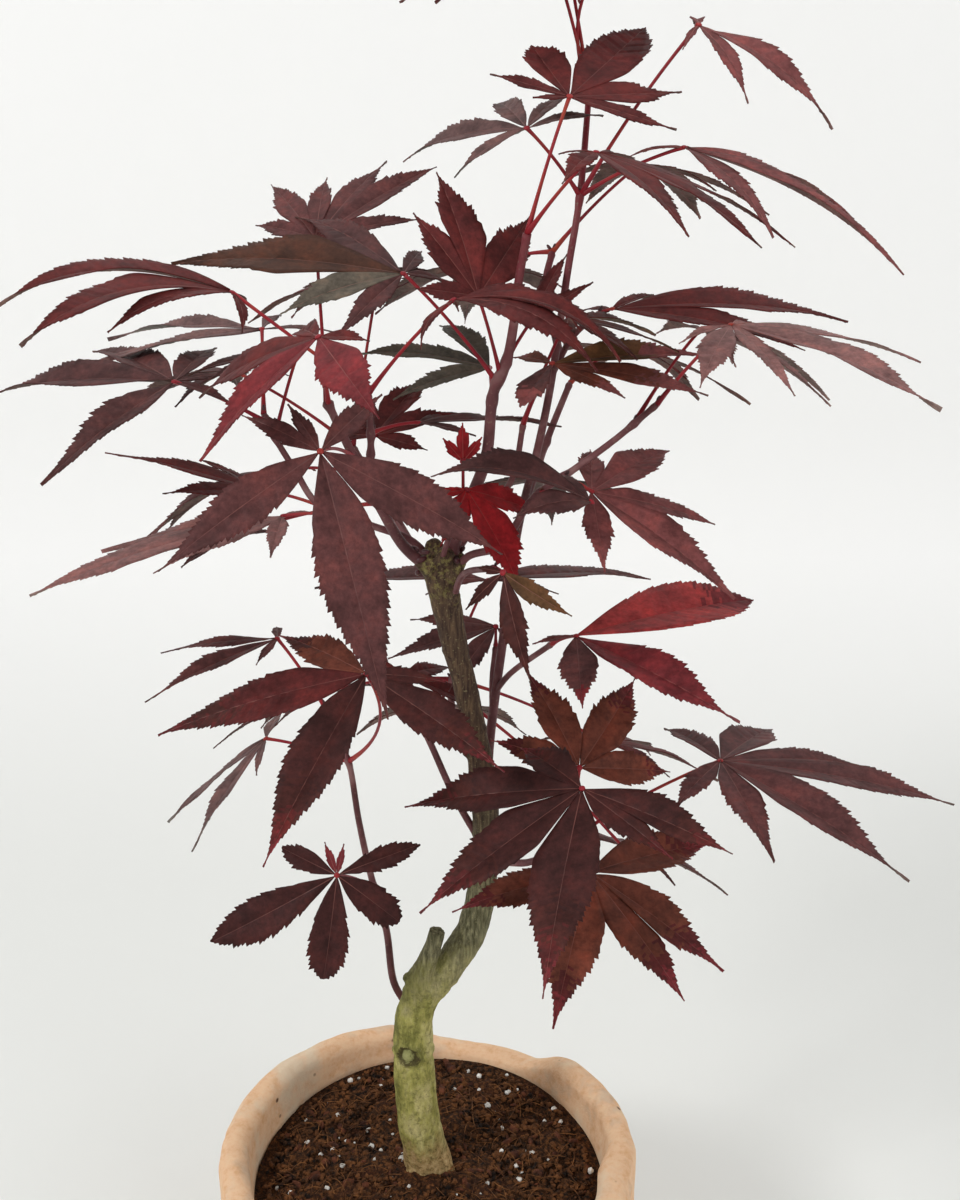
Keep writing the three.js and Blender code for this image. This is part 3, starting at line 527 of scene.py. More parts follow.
def lobe_blade(shape, lobe, halves, settings, rng):
    """One lobe: its points, its faces, which of them lie on the midrib, and their share of its length."""
    angle, length, wide, blunt = (*lobe, *(shape["wide"], 0)[len(lobe) - 2:])
    along, up, right = leaf_axes(shape)
    a = math.radians(angle)
    out = along * math.cos(a) - right * math.sin(a)
    side = along * math.sin(a) + right * math.cos(a)

    # Rows are close together where the edge is toothed
    teeth = max(3, round(length * (1 - PLAIN_SHARE) / TOOTH_PITCH))
    rows = PLAIN_ROWS + ROWS_A_TOOTH * teeth
    lines, hand, row, faces, on_rib = lobe_template(rows)
    shares = np.concatenate([
        np.linspace(HUB_REACH / length, PLAIN_SHARE, PLAIN_ROWS, endpoint=False),
        np.linspace(PLAIN_SHARE, 1, rows - PLAIN_ROWS + 1)])
    share = shares[row]
    gap = (1 - PLAIN_SHARE) * length / (rows - PLAIN_ROWS)

    # Each lobe keeps to its own sector round the hub
    limit = share * length * np.where(hand > 0, math.tan(halves[0]), math.tan(halves[1]))
    free = half_width(share, length, blunt) * wide
    width = np.maximum(np.minimum(softer_of(free, limit, 0.5), limit), NARROWEST)
    apart = np.clip((limit / np.maximum(free, NARROWEST) - 1.1) / 0.3, 0, 1)

    # Teeth point to the tip, come in groups that grow to a large one, and alternate from side to side
    order = row - PLAIN_ROWS + (hand < 0) * 3
    group = ROWS_A_TOOTH * TEETH_A_GROUP
    phase, tooth_tip = order % group, order % ROWS_A_TOOTH
    sizes = rng.uniform(*TOOTH_SIZES, (2, rows // group + 2))
    size = sizes[(hand > 0).astype(int), np.clip(order // group, 0, rows // group + 1)]
    toothed = (row >= PLAIN_ROWS) * (row < rows) * (lines == EDGE) * apart
    depth = np.minimum(settings.teeth / MM, 0.3 * width) * size * toothed
    edge = width + depth * (0.6 * phase / (group - 1) + 0.4 * tooth_tip - 0.4)
    rib = np.minimum(RIB_HALF_WIDTH * (1 - 0.6 * share), 0.35 * width)
    ring = np.take(RING_SHARES, lines)
    across = np.where(lines == 0, 0, rib + (edge - rib) * ring)
    ahead = SLANT * across * apart + tooth_tip * 0.6 * gap * toothed

    # The blade is folded along its midrib, waved at its edges, and sunk along its side veins
    wave = rng.uniform(0, 2 * math.pi)
    fold = settings.fold * rng.uniform(*FOLDS)
    bulge = rng.uniform(*BULGES) * length / USUAL_LENGTH
    lift = across * fold + apart * ring ** 2 * bulge * np.sin(share * 9 + wave + hand)
    lift += apart * (ring < 1) * (lines > 0) * np.where(phase == group - 1, -VEIN_DEPTH, PANEL_RISE)
    lift -= RIB_DEPTH * (lines == 0)
    lift += hand * across * apart * rng.uniform(-TWIST, TWIST) * share
    sideways = rng.uniform(-SWAY, SWAY) * length * share ** 2

    # The midrib bends down toward the tip
    fine = np.linspace(0, 1, BEND_STEPS + 1)
    bends = np.radians(LOBE_CUP + shape["droop"] * ((fine[1:] + fine[:-1]) / 2) ** 1.5)
    forward = np.concatenate([[0], np.cumsum(np.cos(bends))]) * length / BEND_STEPS
    down = np.concatenate([[0], np.cumsum(np.sin(bends))]) * length / BEND_STEPS
    reach = np.minimum(share + ahead / length, 1)
    tilt = np.radians(LOBE_CUP + shape["droop"] * reach ** 1.5)
    normal = up * np.cos(tilt)[:, None] + out * np.sin(tilt)[:, None]
    made = np.array(shape["hub"]) + out * np.interp(reach, fine, forward)[:, None]
    made = made - up * np.interp(reach, fine, down)[:, None] + normal * lift[:, None]
    made = made + side * (hand * across + sideways)[:, None]
    return made, faces, on_rib, share[np.array(faces)].mean(axis=1)


def stalk_line(route, shape, shares):
    """A stalk from inside the stem to the hub, arched unless it goes by way of a named point."""
    start, end = route.at(shape["at"]), np.array(shape["hub"], float)
    middle = (start + end) / 2 + (0, 0, np.linalg.norm(end - start) * STALK_ARCH)
    return bezier(start, shape["via"] or middle, end, shares)


# Materials. Object coordinates are metres, so a pattern's scale is one over its size.

def add_node(tree, kind, inputs=None, stops=(), **settings):
    """Adds a node. An input is a value, a hex colour, a socket, or a node read by its first live
    output."""
    node = tree.nodes.new("ShaderNode" + kind)
    for key, value in settings.items():
        setattr(node, key, value)
    while stops and len(node.color_ramp.elements) < len(stops):
        node.color_ramp.elements.new(0.5)
    for element, (place, shade) in zip(node.color_ramp.elements if stops else (), stops):
        element.position = place
        element.color = colour(shade) if isinstance(shade, str) else shade
    for key, value in (inputs or {}).items():
        if isinstance(value, bpy.types.Node):
            value = next(socket for socket in value.outputs if socket.enabled)
        if isinstance(value, bpy.types.NodeSocket):
            tree.links.new(value, node.inputs[key])
        else:
            node.inputs[key].default_value = colour(value) if isinstance(value, str) else value
    return node


def new_material(name, paint, *given):
    """A material. paint is called with a function that adds nodes and with the Object coordinates, and
    gives back the inputs of a principled shader, or a shader of its own."""
    material = bpy.data.materials.new(name)
    material.use_nodes = True
    material.node_tree.nodes.clear()
    add = functools.partial(add_node, material.node_tree)
    made = paint(add, add("TexCoord").outputs["Object"], *given)
    shader = add("BsdfPrincipled", made) if isinstance(made, dict) else made
    add("OutputMaterial", {"Surface": shader})
    return material


def layered(add, shade, covers):
    """A colour with others laid over it, each by its own factor."""
    for factor, cover in covers:
        shade = add("Mix", {"Factor": factor, "A": shade, "B": cover}, data_type="RGBA")
    return shade


def clouded(add, place, size, detail, stops, look, relief=0):
    """A plain surface that drifts between colours in clouds of a size in millimetres. look holds its
    other inputs, and relief is how strongly the clouds stand out."""
    cloud = add("TexNoise", {"Vector": place, "Scale": 1 / (size * MM), "Detail": detail})
    made = {"Base Color": add("ValToRGB", {"Fac": cloud}, stops), **look}
    if relief:
        made["Normal"] = add("Bump", {"Strength": relief, "Distance": 0.2 * MM, "Height": cloud})
    return made


# Plain surfaces: size of their clouds in mm, the clouds' detail, colours, other inputs and relief
STALK_SKIN = (
    # Smooth red living skin, a little waxy, so it catches a narrow highlight
    12, 2, [(0.3, "#7c1c28"), (0.55, "#96262e"), (0.75, "#a3402f")],
    {"Roughness": 0.42, "IOR": 1.42, "Specular IOR Level": 0.3})
BUD_SKIN = (
    # Bud scales: dark red, dry and a little shiny
    2, 2, [(0.3, "#2c1418"), (0.6, "#4c1e22"), (0.8, "#6f4c34")], {"Roughness": 0.45, "IOR": 1.45})
# Loose bits in the compost, each kind uneven in colour over about 3 mm: dull and bright, and roughness
LOOSE_MATTER = {
    "compost_crumb": ("#150b05", "#704626", 0.95),
    "bark_bit": ("#33190e", "#6c3c25", 0.85),
    "coir_fibre": ("#3a2012", "#8a5a30", 0.8),
    "perlite": ("#a8a49c", "#eceae4", 0.9),
}


def leaf_skin(add, place, skin_hex, upper):
    """Living maple leaf: matte waxy skin over cloudy pigment, paler and rougher underneath."""
    # Pigment varies in clouds about 8 mm wide and in spots of 1.5 mm, and the skin has cells drawn
    # coarse at 0.4 mm
    cloud = add("TexNoise", {"Vector": place, "Scale": 1 / (8 * MM), "Detail": 4, "Roughness": 0.65})
    spot = add("TexNoise", {"Vector": place, "Scale": 1 / (1.5 * MM), "Detail": 4, "Roughness": 0.7})
    fleck = add("TexNoise", {"Vector": place, "Scale": 1 / (0.4 * MM), "Detail": 2})
    base = colour(skin_hex)
    dark, light = ([part * more for part, more in zip(base, change)] + [1]
                   for change in ((0.6, 0.6, 0.6), (1.5, 1.28, 1.2)))
    shade = add("ValToRGB", {"Fac": cloud}, [(0.34, dark), (0.52, base), (0.7, light)])
    level = add("MapRange", {"Value": spot, "From Min": 0.3, "From Max": 0.7, "To Min": 0.72, "To Max": 1.3})
    roughness = {"To Min": 0.5, "To Max": 0.66} if upper else {"To Min": 0.7, "To Max": 0.85}
    return {
        "Base Color": add("VectorMath", {"Vector": shade, "Scale": level}, operation="SCALE"),
        "Roughness": add("MapRange", {"Value": cloud, **roughness}),
        "Normal": add("Bump", {"Strength": 0.35, "Distance": 0.1 * MM, "Height": fleck}),
        "IOR": 1.42, "Specular IOR Level": 0.2,
    }


def rib_skin(add, place, skin_hex):
    """Midrib: a fine cord of living skin, a little redder and smoother than the blade."""
    blade, red = np.array(colour(skin_hex)), np.array(colour("#a0584a"))
    stops = [(0.35, blade * 0.9 + red * 0.08), (0.7, blade * 0.72 + red * 0.3)]
    # The red fades and deepens over about 15 mm
    return clouded(add, place, 15, 2, stops, {"Roughness": 0.5, "IOR": 1.42})


def shoot_skin(add, place):
    """Young maple bark: smooth dark plum skin with a grey bloom and pale pores, redder near the top."""
    # Bloom in patches about 9 mm long, and pores drawn at 0.9 mm
    cloud = add("TexNoise", {"Vector": place, "Scale": 1 / (9 * MM), "Detail": 3})
    pore = add("TexNoise", {"Vector": place, "Scale": 1 / (0.9 * MM), "Detail": 2})
    shade = add("ValToRGB", {"Fac": cloud}, [(0.3, "#502c2e"), (0.55, "#704345"), (0.75, "#94706d")])
    height = add("SeparateXYZ", {0: place}).outputs["Z"]
    fresh = add("MapRange", {"Value": height, "From Min": 0.34, "From Max": 0.4})
    speck = add("MapRange", {"Value": pore, "From Min": 0.62, "From Max": 0.72})
    shade = layered(add, shade, ((fresh, "#78222c"), (speck, "#7a5a50")))
    bump = add("Bump", {"Strength": 0.4, "Distance": 0.1 * MM, "Height": pore})
    return {"Base Color": shade, "Roughness": 0.5, "Normal": bump, "IOR": 1.45, "Specular IOR Level": 0.3}


def trunk_bark(add, place, settings):
    """Maple bark: pale green low down, dark green at the bend, brown-grey above, tan at the root."""
    x, _, z = add("SeparateXYZ", {0: place}).outputs
    drawn, thread = (add("Mapping", {"Vector": place, "Scale": (1, 1, squeeze)}) for squeeze in (0.45, 0.12))
    # Clouds about 5 mm wide and streaks about 1 mm wide, both drawn out upward, a grain of 0.8 mm drawn
    # out more, algae in specks of 2 mm and flecks of 0.6 mm
    cloud, streak, grain, algae, fleck = (
        add("TexNoise", {"Vector": source, "Scale": 1 / (size * MM), "Detail": detail, "Roughness": rough})
        for source, size, detail, rough in (
            (drawn, 5, 5, 0.62), (drawn, 1.1, 4, 0.7), (thread, 0.8, 3, 0.6), (place, 2, 4, 0.75),
            (place, 0.6, 2, 0.5)))
    # Where each kind of bark begins is uneven, by up to 40 mm
    height = add("Math", {0: cloud, 1: 40 * MM, 2: z}, operation="MULTIPLY_ADD")
    bent, risen, foot, collar = (
        add("MapRange", {"Value": height, "From Min": begins, "From Max": ends, "To Max": most})
        for begins, ends, most in ((0.166, 0.19, 1), (0.2, 0.24, 1), (0.122, 0.111, 0.85), (0.296, 0.306, 1)))
    # The low bark is paler toward its right side, partly its own colour and partly painted light, streaked,
    # and dirty with algae
    paler_side_and_painted_light = add("Math", {0: x, 1: 0.012 / MM, 2: cloud}, operation="MULTIPLY_ADD")
    low = add("ValToRGB", {"Fac": paler_side_and_painted_light}, [
        (0.3, "#6d6c36"), (0.46, list(settings.young_bark) + [1]), (0.64, "#c2b87f")])
    tone = add("MapRange", {"Value": streak, "From Min": 0.3, "From Max": 0.7, "To Min": 0.7, "To Max": 1.25})
    lined = add("VectorMath", {"Vector": low, "Scale": tone}, operation="SCALE")
    dirty = add("MapRange", {"Value": algae, "From Min": 0.5, "From Max": 0.36, "To Max": 0.6})
    bend = add("ValToRGB", {"Fac": grain}, [(0.32, "#42402b"), (0.5, "#67634a"), (0.68, "#8f8a68")])
    high = add("ValToRGB", {"Fac": grain}, [
        (0.32, "#342621"), (0.5, list(settings.old_bark) + [1]), (0.68, "#69543f")])
    speck = add("MapRange", {"Value": fleck, "From Min": 0.62, "From Max": 0.72, "To Max": 0.35})
    # The knot has a pale middle in a dark, uneven ring
    away = add("VectorMath", {0: place, 1: [part * MM for part in KNOT]}, operation="DISTANCE")
    inward = add("Math", {0: away, 1: 2.4 * MM}, operation="SUBTRACT")
    eye = add("Math", {0: algae, 1: 5 * MM, 2: inward}, operation="MULTIPLY_ADD")
    ring = add("ValToRGB", {"Fac": add("Math", {0: eye, 1: 0.1 / MM}, operation="MULTIPLY")}, [
        (0, "#a5a473"), (0.16, "#8f8f5c"), (0.24, "#3d3520"), (0.34, "#4a4226"), (0.42, "#8c8a55")])
    near = add("MapRange", {
        "Value": eye, "From Min": 3 * MM, "From Max": 4.4 * MM, "To Min": 0.9, "To Max": 0})
    flake = add("ValToRGB", {"Fac": algae}, [(0.38, "#6d5638"), (0.52, "#a88a60"), (0.66, "#c9ad83")])
    # Ochre and yellow-green lichen in tufts of 2 mm round the collar
    tuft = add("MapRange", {"Value": algae, "From Min": 0.5, "From Max": 0.6, "To Max": 0.85})
    grown = add("Math", {0: collar, 1: tuft}, operation="MULTIPLY")
    lichen = add("ValToRGB", {"Fac": streak}, [(0.35, "#6e5f34"), (0.6, "#8c8450")])
    shade = layered(add, lined, (
        (dirty, "#54512c"), (bent, bend), (risen, high), (speck, "#b3a778"), (near, ring), (foot, flake),
        (grown, lichen)))
    relief = add("Math", {0: streak, 1: 0.8, 2: fleck}, operation="MULTIPLY_ADD")
    bump = add("Bump", {"Strength": 0.7, "Distance": 0.3 * MM, "Height": relief})
    return {"Base Color": shade, "Roughness": 0.75, "Normal": bump, "IOR": 1.45, "Specular IOR Level": 0.2}


def fired_clay(add, place, settings):
    """Hand-made earthenware: open, chalky and peach, with pale blooms, grey stains and dark pits."""
    # Blooms about 22 mm wide, mottle of 4 mm, grit of 0.8 mm, and sparse pits about 9 mm apart
    bloom = add("TexNoise", {"Vector": place, "Scale": 1 / (22 * MM), "Detail": 4, "Roughness": 0.6})
    mottle = add("TexNoise", {"Vector": place, "Scale": 1 / (4 * MM), "Detail": 5, "Roughness": 0.7})
    grit = add("TexNoise", {"Vector": place, "Scale": 1 / (0.8 * MM), "Detail": 3})
    pit = add("TexVoronoi", {"Vector": place, "Scale": 1 / (9 * MM), "Randomness": 1}, feature="F1")
    shade = add("ValToRGB", {"Fac": mottle}, [
        (0.3, "#dcaa7c"), (0.5, list(settings.clay) + [1]), (0.7, "#eecba5")])
    pale = add("MapRange", {"Value": bloom, "From Min": 0.52, "From Max": 0.66, "To Max": 0.7})
    stain = add("MapRange", {"Value": bloom, "From Min": 0.44, "From Max": 0.34, "To Max": 0.45})
    hole = add("MapRange", {"Value": pit, "From Min": 0.05, "From Max": 0.11, "To Min": 1, "To Max": 0})
    shade = layered(add, shade, ((pale, "#e3d3ba"), (stain, "#bfae9c"), (hole, "#6b4a34")))
    relief = add("Math", {0: grit, 1: 0.35, 2: mottle}, operation="MULTIPLY_ADD")
    sunk = add("Math", {0: relief, 1: hole}, operation="SUBTRACT")
    bump = add("Bump", {"Strength": 0.6, "Distance": 0.6 * MM, "Height": sunk})
    return {"Base Color": shade, "Roughness": 0.88, "Normal": bump, "IOR": 1.5, "Specular IOR Level": 0.3}


def compost(add, place, settings):
    """Moist fibrous compost: very dark brown, rough, with a reddish cast in places."""
    # Crumbs of about 1.5 mm in patches of about 14 mm
    crumb = add("TexNoise", {"Vector": place, "Scale": 1 / (1.5 * MM), "Detail": 5, "Roughness": 0.75})
    patch = add("TexNoise", {"Vector": place, "Scale": 1 / (14 * MM), "Detail": 2})
    shade = add("ValToRGB", {"Fac": crumb}, [
        (0.38, "#1a1008"), (0.52, list(settings.earth) + [1]), (0.68, "#7d502a")])
    cast = add("MapRange", {"Value": patch, "From Min": 0.5, "From Max": 0.7, "To Max": 0.4})
    warm = layered(add, shade, [(cast, "#4a2418")])
    bump = add("Bump", {"Strength": 1, "Distance": 1 * MM, "Height": crumb})
    return {"Base Color": warm, "Roughness": 0.95, "Normal": bump, "Specular IOR Level": 0.2}


def stage_paper(add, place, settings):
    """Matte white studio paper, painted greyer where it lies on the floor than where it hangs, as painted
    light: the hanging paper gets more light.
    """
    height = add("SeparateXYZ", {0: place}).outputs["Z"]
    # Painted light: the paper is painted whiter up the bend where it hangs, standing in for the light that
    # falls more on it than on the floor
    hung_painted_light = add("MapRange", {"Value": height, "From Max": 0.12})
    tone = layered(add, list(settings.floor) + [1], [(hung_painted_light, "#fcfcfb")])
    tooth = add("TexNoise", {"Vector": place, "Scale": 1 / (2 * MM), "Detail": 2})
    bump = add("Bump", {"Strength": 0.02, "Distance": 0.05 * MM, "Height": tooth})
    paper = add("BsdfPrincipled", {
        "Base Color": tone, "Roughness": 0.9, "Normal": bump, "Specular IOR Level": 0.1})
    # A camera behind the hanging paper sees through it
    behind = add("Math", {0: add("NewGeometry").outputs["Backfacing"],
                          1: add("LightPath").outputs["Is Camera Ray"]}, operation="MULTIPLY")
    return add("MixShader", {0: behind, 1: paper, 2: add("BsdfTransparent")})


# Pot and soil

ROUND_WAVES = [(2, 0.007, 60), (3, 0.004, 25), (5, 0.002, 110)]
RIM_WAVES = [(2, 0.5, 40), (3, 0.4, 150)]
RIM_SWELLS = [(70, 25, -8.3), (150, 50, 2.4)]
POT_RADIUS = 65
POT_FOOT_RADIUS = 50
RIM_HEIGHT = 95
RIM_WIDTH = 9
WALL = 9.5
FLOOR_THICKNESS = 9
# Lumps on the rim: direction in degrees, how far round it reaches, push outward and upward
RIM_LUMPS = [(47, 9, 1.2, 1.6), (-12, 8, -3.2, 0.4), (150, 14, -1.0, 0.8), (205, 10, 0.8, -0.8)]
POT_SPACING = 2.2
SOIL_SPACING = 1.2
SOIL_STEPS = 220
# Radius of the soil's crumbly top, how deep it goes, and how close to the trunk the loose bits come
CRUMB_REACH = 54
CRUMB_DEPTH = 5.5
TRUNK_CLEARANCE = 8
# The heap at the back begins here and rises over this distance, and a mound is round the trunk
HEAP_START = 10
HEAP_RUN = 42
MOUND_HEIGHT = 3
MOUND_RADIUS = 13
# Loose bits: crumbs to each bit of bark, grains of perlite, and rings of points along a fibre
CRUMBS_A_BARK_BIT = 26
PERLITE_GRAINS = 90
FIBRE_RINGS = 5


def waves(rows, angle):
    """Sum of waves round the pot."""
    return sum(depth * math.sin(count * angle + math.radians(phase)) for count, depth, phase in rows)


def turn_from(direction, angle):
    """Degrees from a direction in degrees to an angle in radians, the short way round."""
    return (math.degrees(angle) - direction + 180) % 360 - 180


def rim_rise(angle):
    """How far the rim rises above its usual height in a direction."""
    swells = sum(rise * math.exp(-(turn_from(direction, angle) / spread) ** 4)
                 for direction, spread, rise in RIM_SWELLS)
    return waves(RIM_WAVES, angle) + swells


def outer_radius(height):
    """The pot's outer radius at a height."""
    share = math.sin(height / RIM_HEIGHT * math.pi / 2) ** 0.8
    return POT_FOOT_RADIUS + (POT_RADIUS - POT_FOOT_RADIUS) * share


def line_bmesh(points):
    """A bmesh of a line through points, with its points and edges."""
    bm = bmesh.new()
    verts = [bm.verts.new(point) for point in points]
    return bm, verts, [bm.edges.new(pair) for pair in zip(verts, verts[1:])]


def spun(profile, steps):
    """A bmesh spun round Z from a profile of radius and height that starts and ends on the axis."""
    bm, verts, edges = line_bmesh([(radius, 0, height) for radius, height in profile])
    bmesh.ops.spin(bm, geom=verts + edges, cent=(0, 0, 0), axis=(0, 0, 1), angle=2 * math.pi,
                   steps=steps, use_merge=True)
    bmesh.ops.remove_doubles(bm, verts=bm.verts[:], dist=0.001)
    bmesh.ops.recalc_face_normals(bm, faces=bm.faces[:])
    return bm


def fill_in(profile, spacing):
    """A profile with points added so that none are further apart than the spacing."""
    made = [profile[0]]
    for before, after in zip(profile, profile[1:]):
        count = max(1, math.ceil(math.dist(before, after) / spacing))
        made += [tuple(np.array(before) + (np.array(after) - before) * i / count)
                 for i in range(1, count + 1)]
    return made


def finish_mesh(bm, name, materials, scale=MM):
    """A smooth object from a bmesh, in millimetres unless its scale says otherwise. Its faces are in one
    order, and each begins at its lowest index, so that every run gives the same mesh."""
    places, faces = as_arrays(bm)
    faces = sorted(face[face.index(min(face)):] + face[:face.index(min(face))] for face in faces)
    mesh = bpy.data.meshes.new(name)
    mesh.from_pydata(places * scale, [], faces)
    mesh.polygons.foreach_set("use_smooth", [True] * len(faces))
    mesh.update()
    return add_object(name, mesh, materials)


def pot_profile():
    """Half the pot's section, from the middle of its underside to the middle of its floor inside."""
    outside = [(outer_radius(height), height) for height in (4, 12, 25, 45, 65, 80, 90)]
    inner = POT_RADIUS - RIM_WIDTH
    rim = [(POT_RADIUS - 1, 93.5), (POT_RADIUS - 3, 95), (inner + 3, 95), (inner + 0.5, 93)]
    inside = [(outer_radius(height) - WALL, height) for height in (85, 60, 35, 18, 9)]
    return [(0, 0), (POT_FOOT_RADIUS, 0)] + outside + rim + inside + [(0, FLOOR_THICKNESS)]


def shape_pot(bm, depth):
    """Gives the spun pot its hand-made roundness, rim, lumps and dents."""
    for vert in bm.verts:
        radius = math.hypot(vert.co.x, vert.co.y)
        if radius < 1:
            continue
        angle = math.atan2(vert.co.y, vert.co.x)
        near_rim = min(1, max(0, (vert.co.z - SOIL_HEIGHT) / (RIM_HEIGHT - SOIL_HEIGHT)))
        push = 0
        lift = near_rim * rim_rise(angle)
        for direction, reach, outward, upward in RIM_LUMPS:
            bell = math.exp(-(turn_from(direction, angle) / reach) ** 2) * near_rim
            inner_side = radius < POT_RADIUS - RIM_WIDTH / 2
            push += outward * bell * (1 if inner_side == (outward < 0) else 0.25)
            lift += upward * bell
        place = Vector(vert.co)
        # Dents are about 14 and 5 mm wide, and the fingers leave long marks round the wall
        dent = noise.noise(place / 14) + noise.noise(place / 5 + Vector((7, 0, 0))) * 0.35
        fingers = noise.noise(Vector((angle * 2.2, vert.co.z / 40, 3))) * 0.6
        soft = min(1, vert.co.z / 6)
        away = (radius * (1 + waves(ROUND_WAVES, angle)) + push + (dent + fingers) * depth * soft) / radius
        vert.co.x *= away
        vert.co.y *= away
        vert.co.z += lift + (dent * 0.6 + noise.noise(place / 7) * 0.8) * depth * near_rim


def soil_rise(x, y):
    """How far the soil is heaped up toward the back of the pot and round the trunk."""
    heap = SOIL_HEAP * np.clip((y - HEAP_START) / HEAP_RUN, 0, 1) ** 1.3
    return heap + MOUND_HEIGHT * np.exp(-(x * x + y * y) / MOUND_RADIUS ** 2)


def shape_soil(bm):
    """Gives the soil the pot's roundness and a crumbly top."""
    for vert in bm.verts:
        radius = math.hypot(vert.co.x, vert.co.y)
        angle = math.atan2(vert.co.y, vert.co.x)
        scale = 1 + waves(ROUND_WAVES, angle)
        top = vert.co.z > SOIL_HEIGHT - CRUMB_DEPTH
        place = Vector(vert.co)
        vert.co.x *= scale
        vert.co.y *= scale
        if top and radius < CRUMB_REACH:
            lumps = [noise.noise(place / wide) * deep for wide, deep in ((9, 1.5), (3.4, 1.4), (1.5, 0.8))]
            vert.co.z += sum(lumps) - 0.5
        if top:
            rise = soil_rise(place.x, place.y)
            wider = outer_radius(place.z + rise) / outer_radius(place.z)
            vert.co += Vector((vert.co.x * (wider - 1), vert.co.y * (wider - 1), rise))


def soil_top(x, y):
    """Rough height of the soil's top at a place."""
    return SOIL_HEIGHT - 0.5 - 3 * np.maximum(0, (np.hypot(x, y) - 18) / 37) ** 2 + soil_rise(x, y)


def turn_toward(axis):
    """The rotation matrix that lays Z along an axis."""
    return np.array(Vector(unit(axis)).to_track_quat("Z", "Y").to_matrix())


def on_soil(rng, spread=0.965):
    """A random place on the soil, clear of the trunk."""
    while True:
        radius = CRUMB_REACH * math.sqrt(rng.uniform(0, 1)) * spread
        angle = rng.uniform(0, 2 * math.pi)
        x, y = radius * math.cos(angle), radius * math.sin(angle)
        if math.hypot(x, y - 2) > TRUNK_CLEARANCE:
            return x, y


def scatter_lumps(joined, count, sizes, flat, slot, rng, template, sink=0.2):
    """Strews rough lumps over the soil."""
    places, faces = template
    for _ in range(count):
        x, y = on_soil(rng)
        size = rng.uniform(*sizes) * rng.uniform(0.6, 1)
        stretch = np.array([1, rng.uniform(0.6, 1), rng.uniform(*flat)]) * size
        rough = places * (1 + rng.uniform(-0.22, 0.22, (len(places), 1)))
        turned = (rough * stretch) @ turn_toward(rng.normal(size=3)).T
        centre = np.array([x, y, soil_top(x, y) + size * (0.3 - sink)])
        joined.add(turned + centre, faces, slot)


def scatter_fibres(joined, count, lengths, radius, slot, rng, template):
    """Strews bent fibres over the soil."""
    steps = np.linspace(0, 1, FIBRE_RINGS + 1)
    for _ in range(count):
        x, y = on_soil(rng, 0.9)
        angle = rng.uniform(0, 2 * math.pi)
        length = rng.uniform(*lengths)
        ahead = np.array([math.cos(angle), math.sin(angle), rng.uniform(-0.15, 0.25)]) * length / 2
        bend = rng.normal(size=3) * length * 0.16
        centre = np.array([x, y, soil_top(x, y) + 0.7])
        line = bezier(centre - ahead, centre + bend + (0, 0, 0.6), centre + ahead, steps)
        line[:, 2] = np.maximum(line[:, 2], soil_top(line[:, 0], line[:, 1]))
        limit = (CRUMB_REACH - 1) / np.maximum(np.hypot(line[:, 0], line[:, 1]), CRUMB_REACH - 1)
        line[:, :2] *= limit[:, None]
        made, faces = along_rod(template, line, np.full(len(steps), rng.uniform(*radius)))
        joined.add(made, faces, slot)


# Trunk

# Middle of the knot
KNOT = (-5.6, -6.0, 132.3)
# Height of each old ring scar, and how far it stands out
RING_SCARS = [(131, 0.45), (128.5, -0.25), (152, 0.25), (186, 0.3), (215, 0.25), (238, 0.3), (262, 0.25)]
# Sides of each rod, and rings of points along it
TRUNK_ROD = (40, 120)
SHORT_ROD = (24, 12)
STEM_ROD = (14, 70)
STALK_ROD = (10, 16)
# A knob on the trunk's left above its bend, with its radii at both ends
KNOB = [(-2, -1, 152), (-4.2, -2, 156.5), (-5.4, -2.5, 159)]
KNOB_RADII = (3, 1.7)
# Swellings of the collar, where the boughs part: place and radius
COLLAR_LUMPS = [(3, 0, 289, 3.4), (9.5, 1, 289.5, 3.1), (6, 5, 289, 3.4), (7, -1.5, 291.5, 2.8),
                (4, 3, 292.5, 2.6)]
# The trunk swells along the first part of each shoot: how far, and how much thicker at both ends
SWELLING_REACH = 7
SWELLING_RADII = (1.4, 0.1)
# A stem swells at its nodes by this much, to this far on either side, and is rounded over its last part
NODE_SWELL = 0.35
NODE_SPREAD = 1.3
STEM_TIP = 1.4
# A stalk's radius, and what is added at its foot and at the leaf
STALK_RADIUS = 0.44
STALK_FOOT = 0.4
STALK_HEAD = 0.14
# Half sizes of the knuckle under a leaf, of a bud by a stalk and of a bud on the collar
KNUCKLE = (0.85, 0.85, 0.45)
BUD = (0.5, 0.5, 1.2)
COLLAR_BUD = (0.75, 0.75, 1.4)
# Buds on the collar: place and size
COLLAR_BUDS = [(0.5, -2.2, 291, 1.2), (-1.2, -1, 293.5, 1.1), (1.6, -3.4, 293.5, 1), (-0.4, -3, 287.5, 1),
               (10, -2.6, 291, 1.1), (11.6, 0.5, 293, 0.9)]
BUD_SEED = 5


def ring_shares(rod):
    """The share of the length at each ring of a rod."""
    return np.linspace(0, 1, rod[1] + 1)


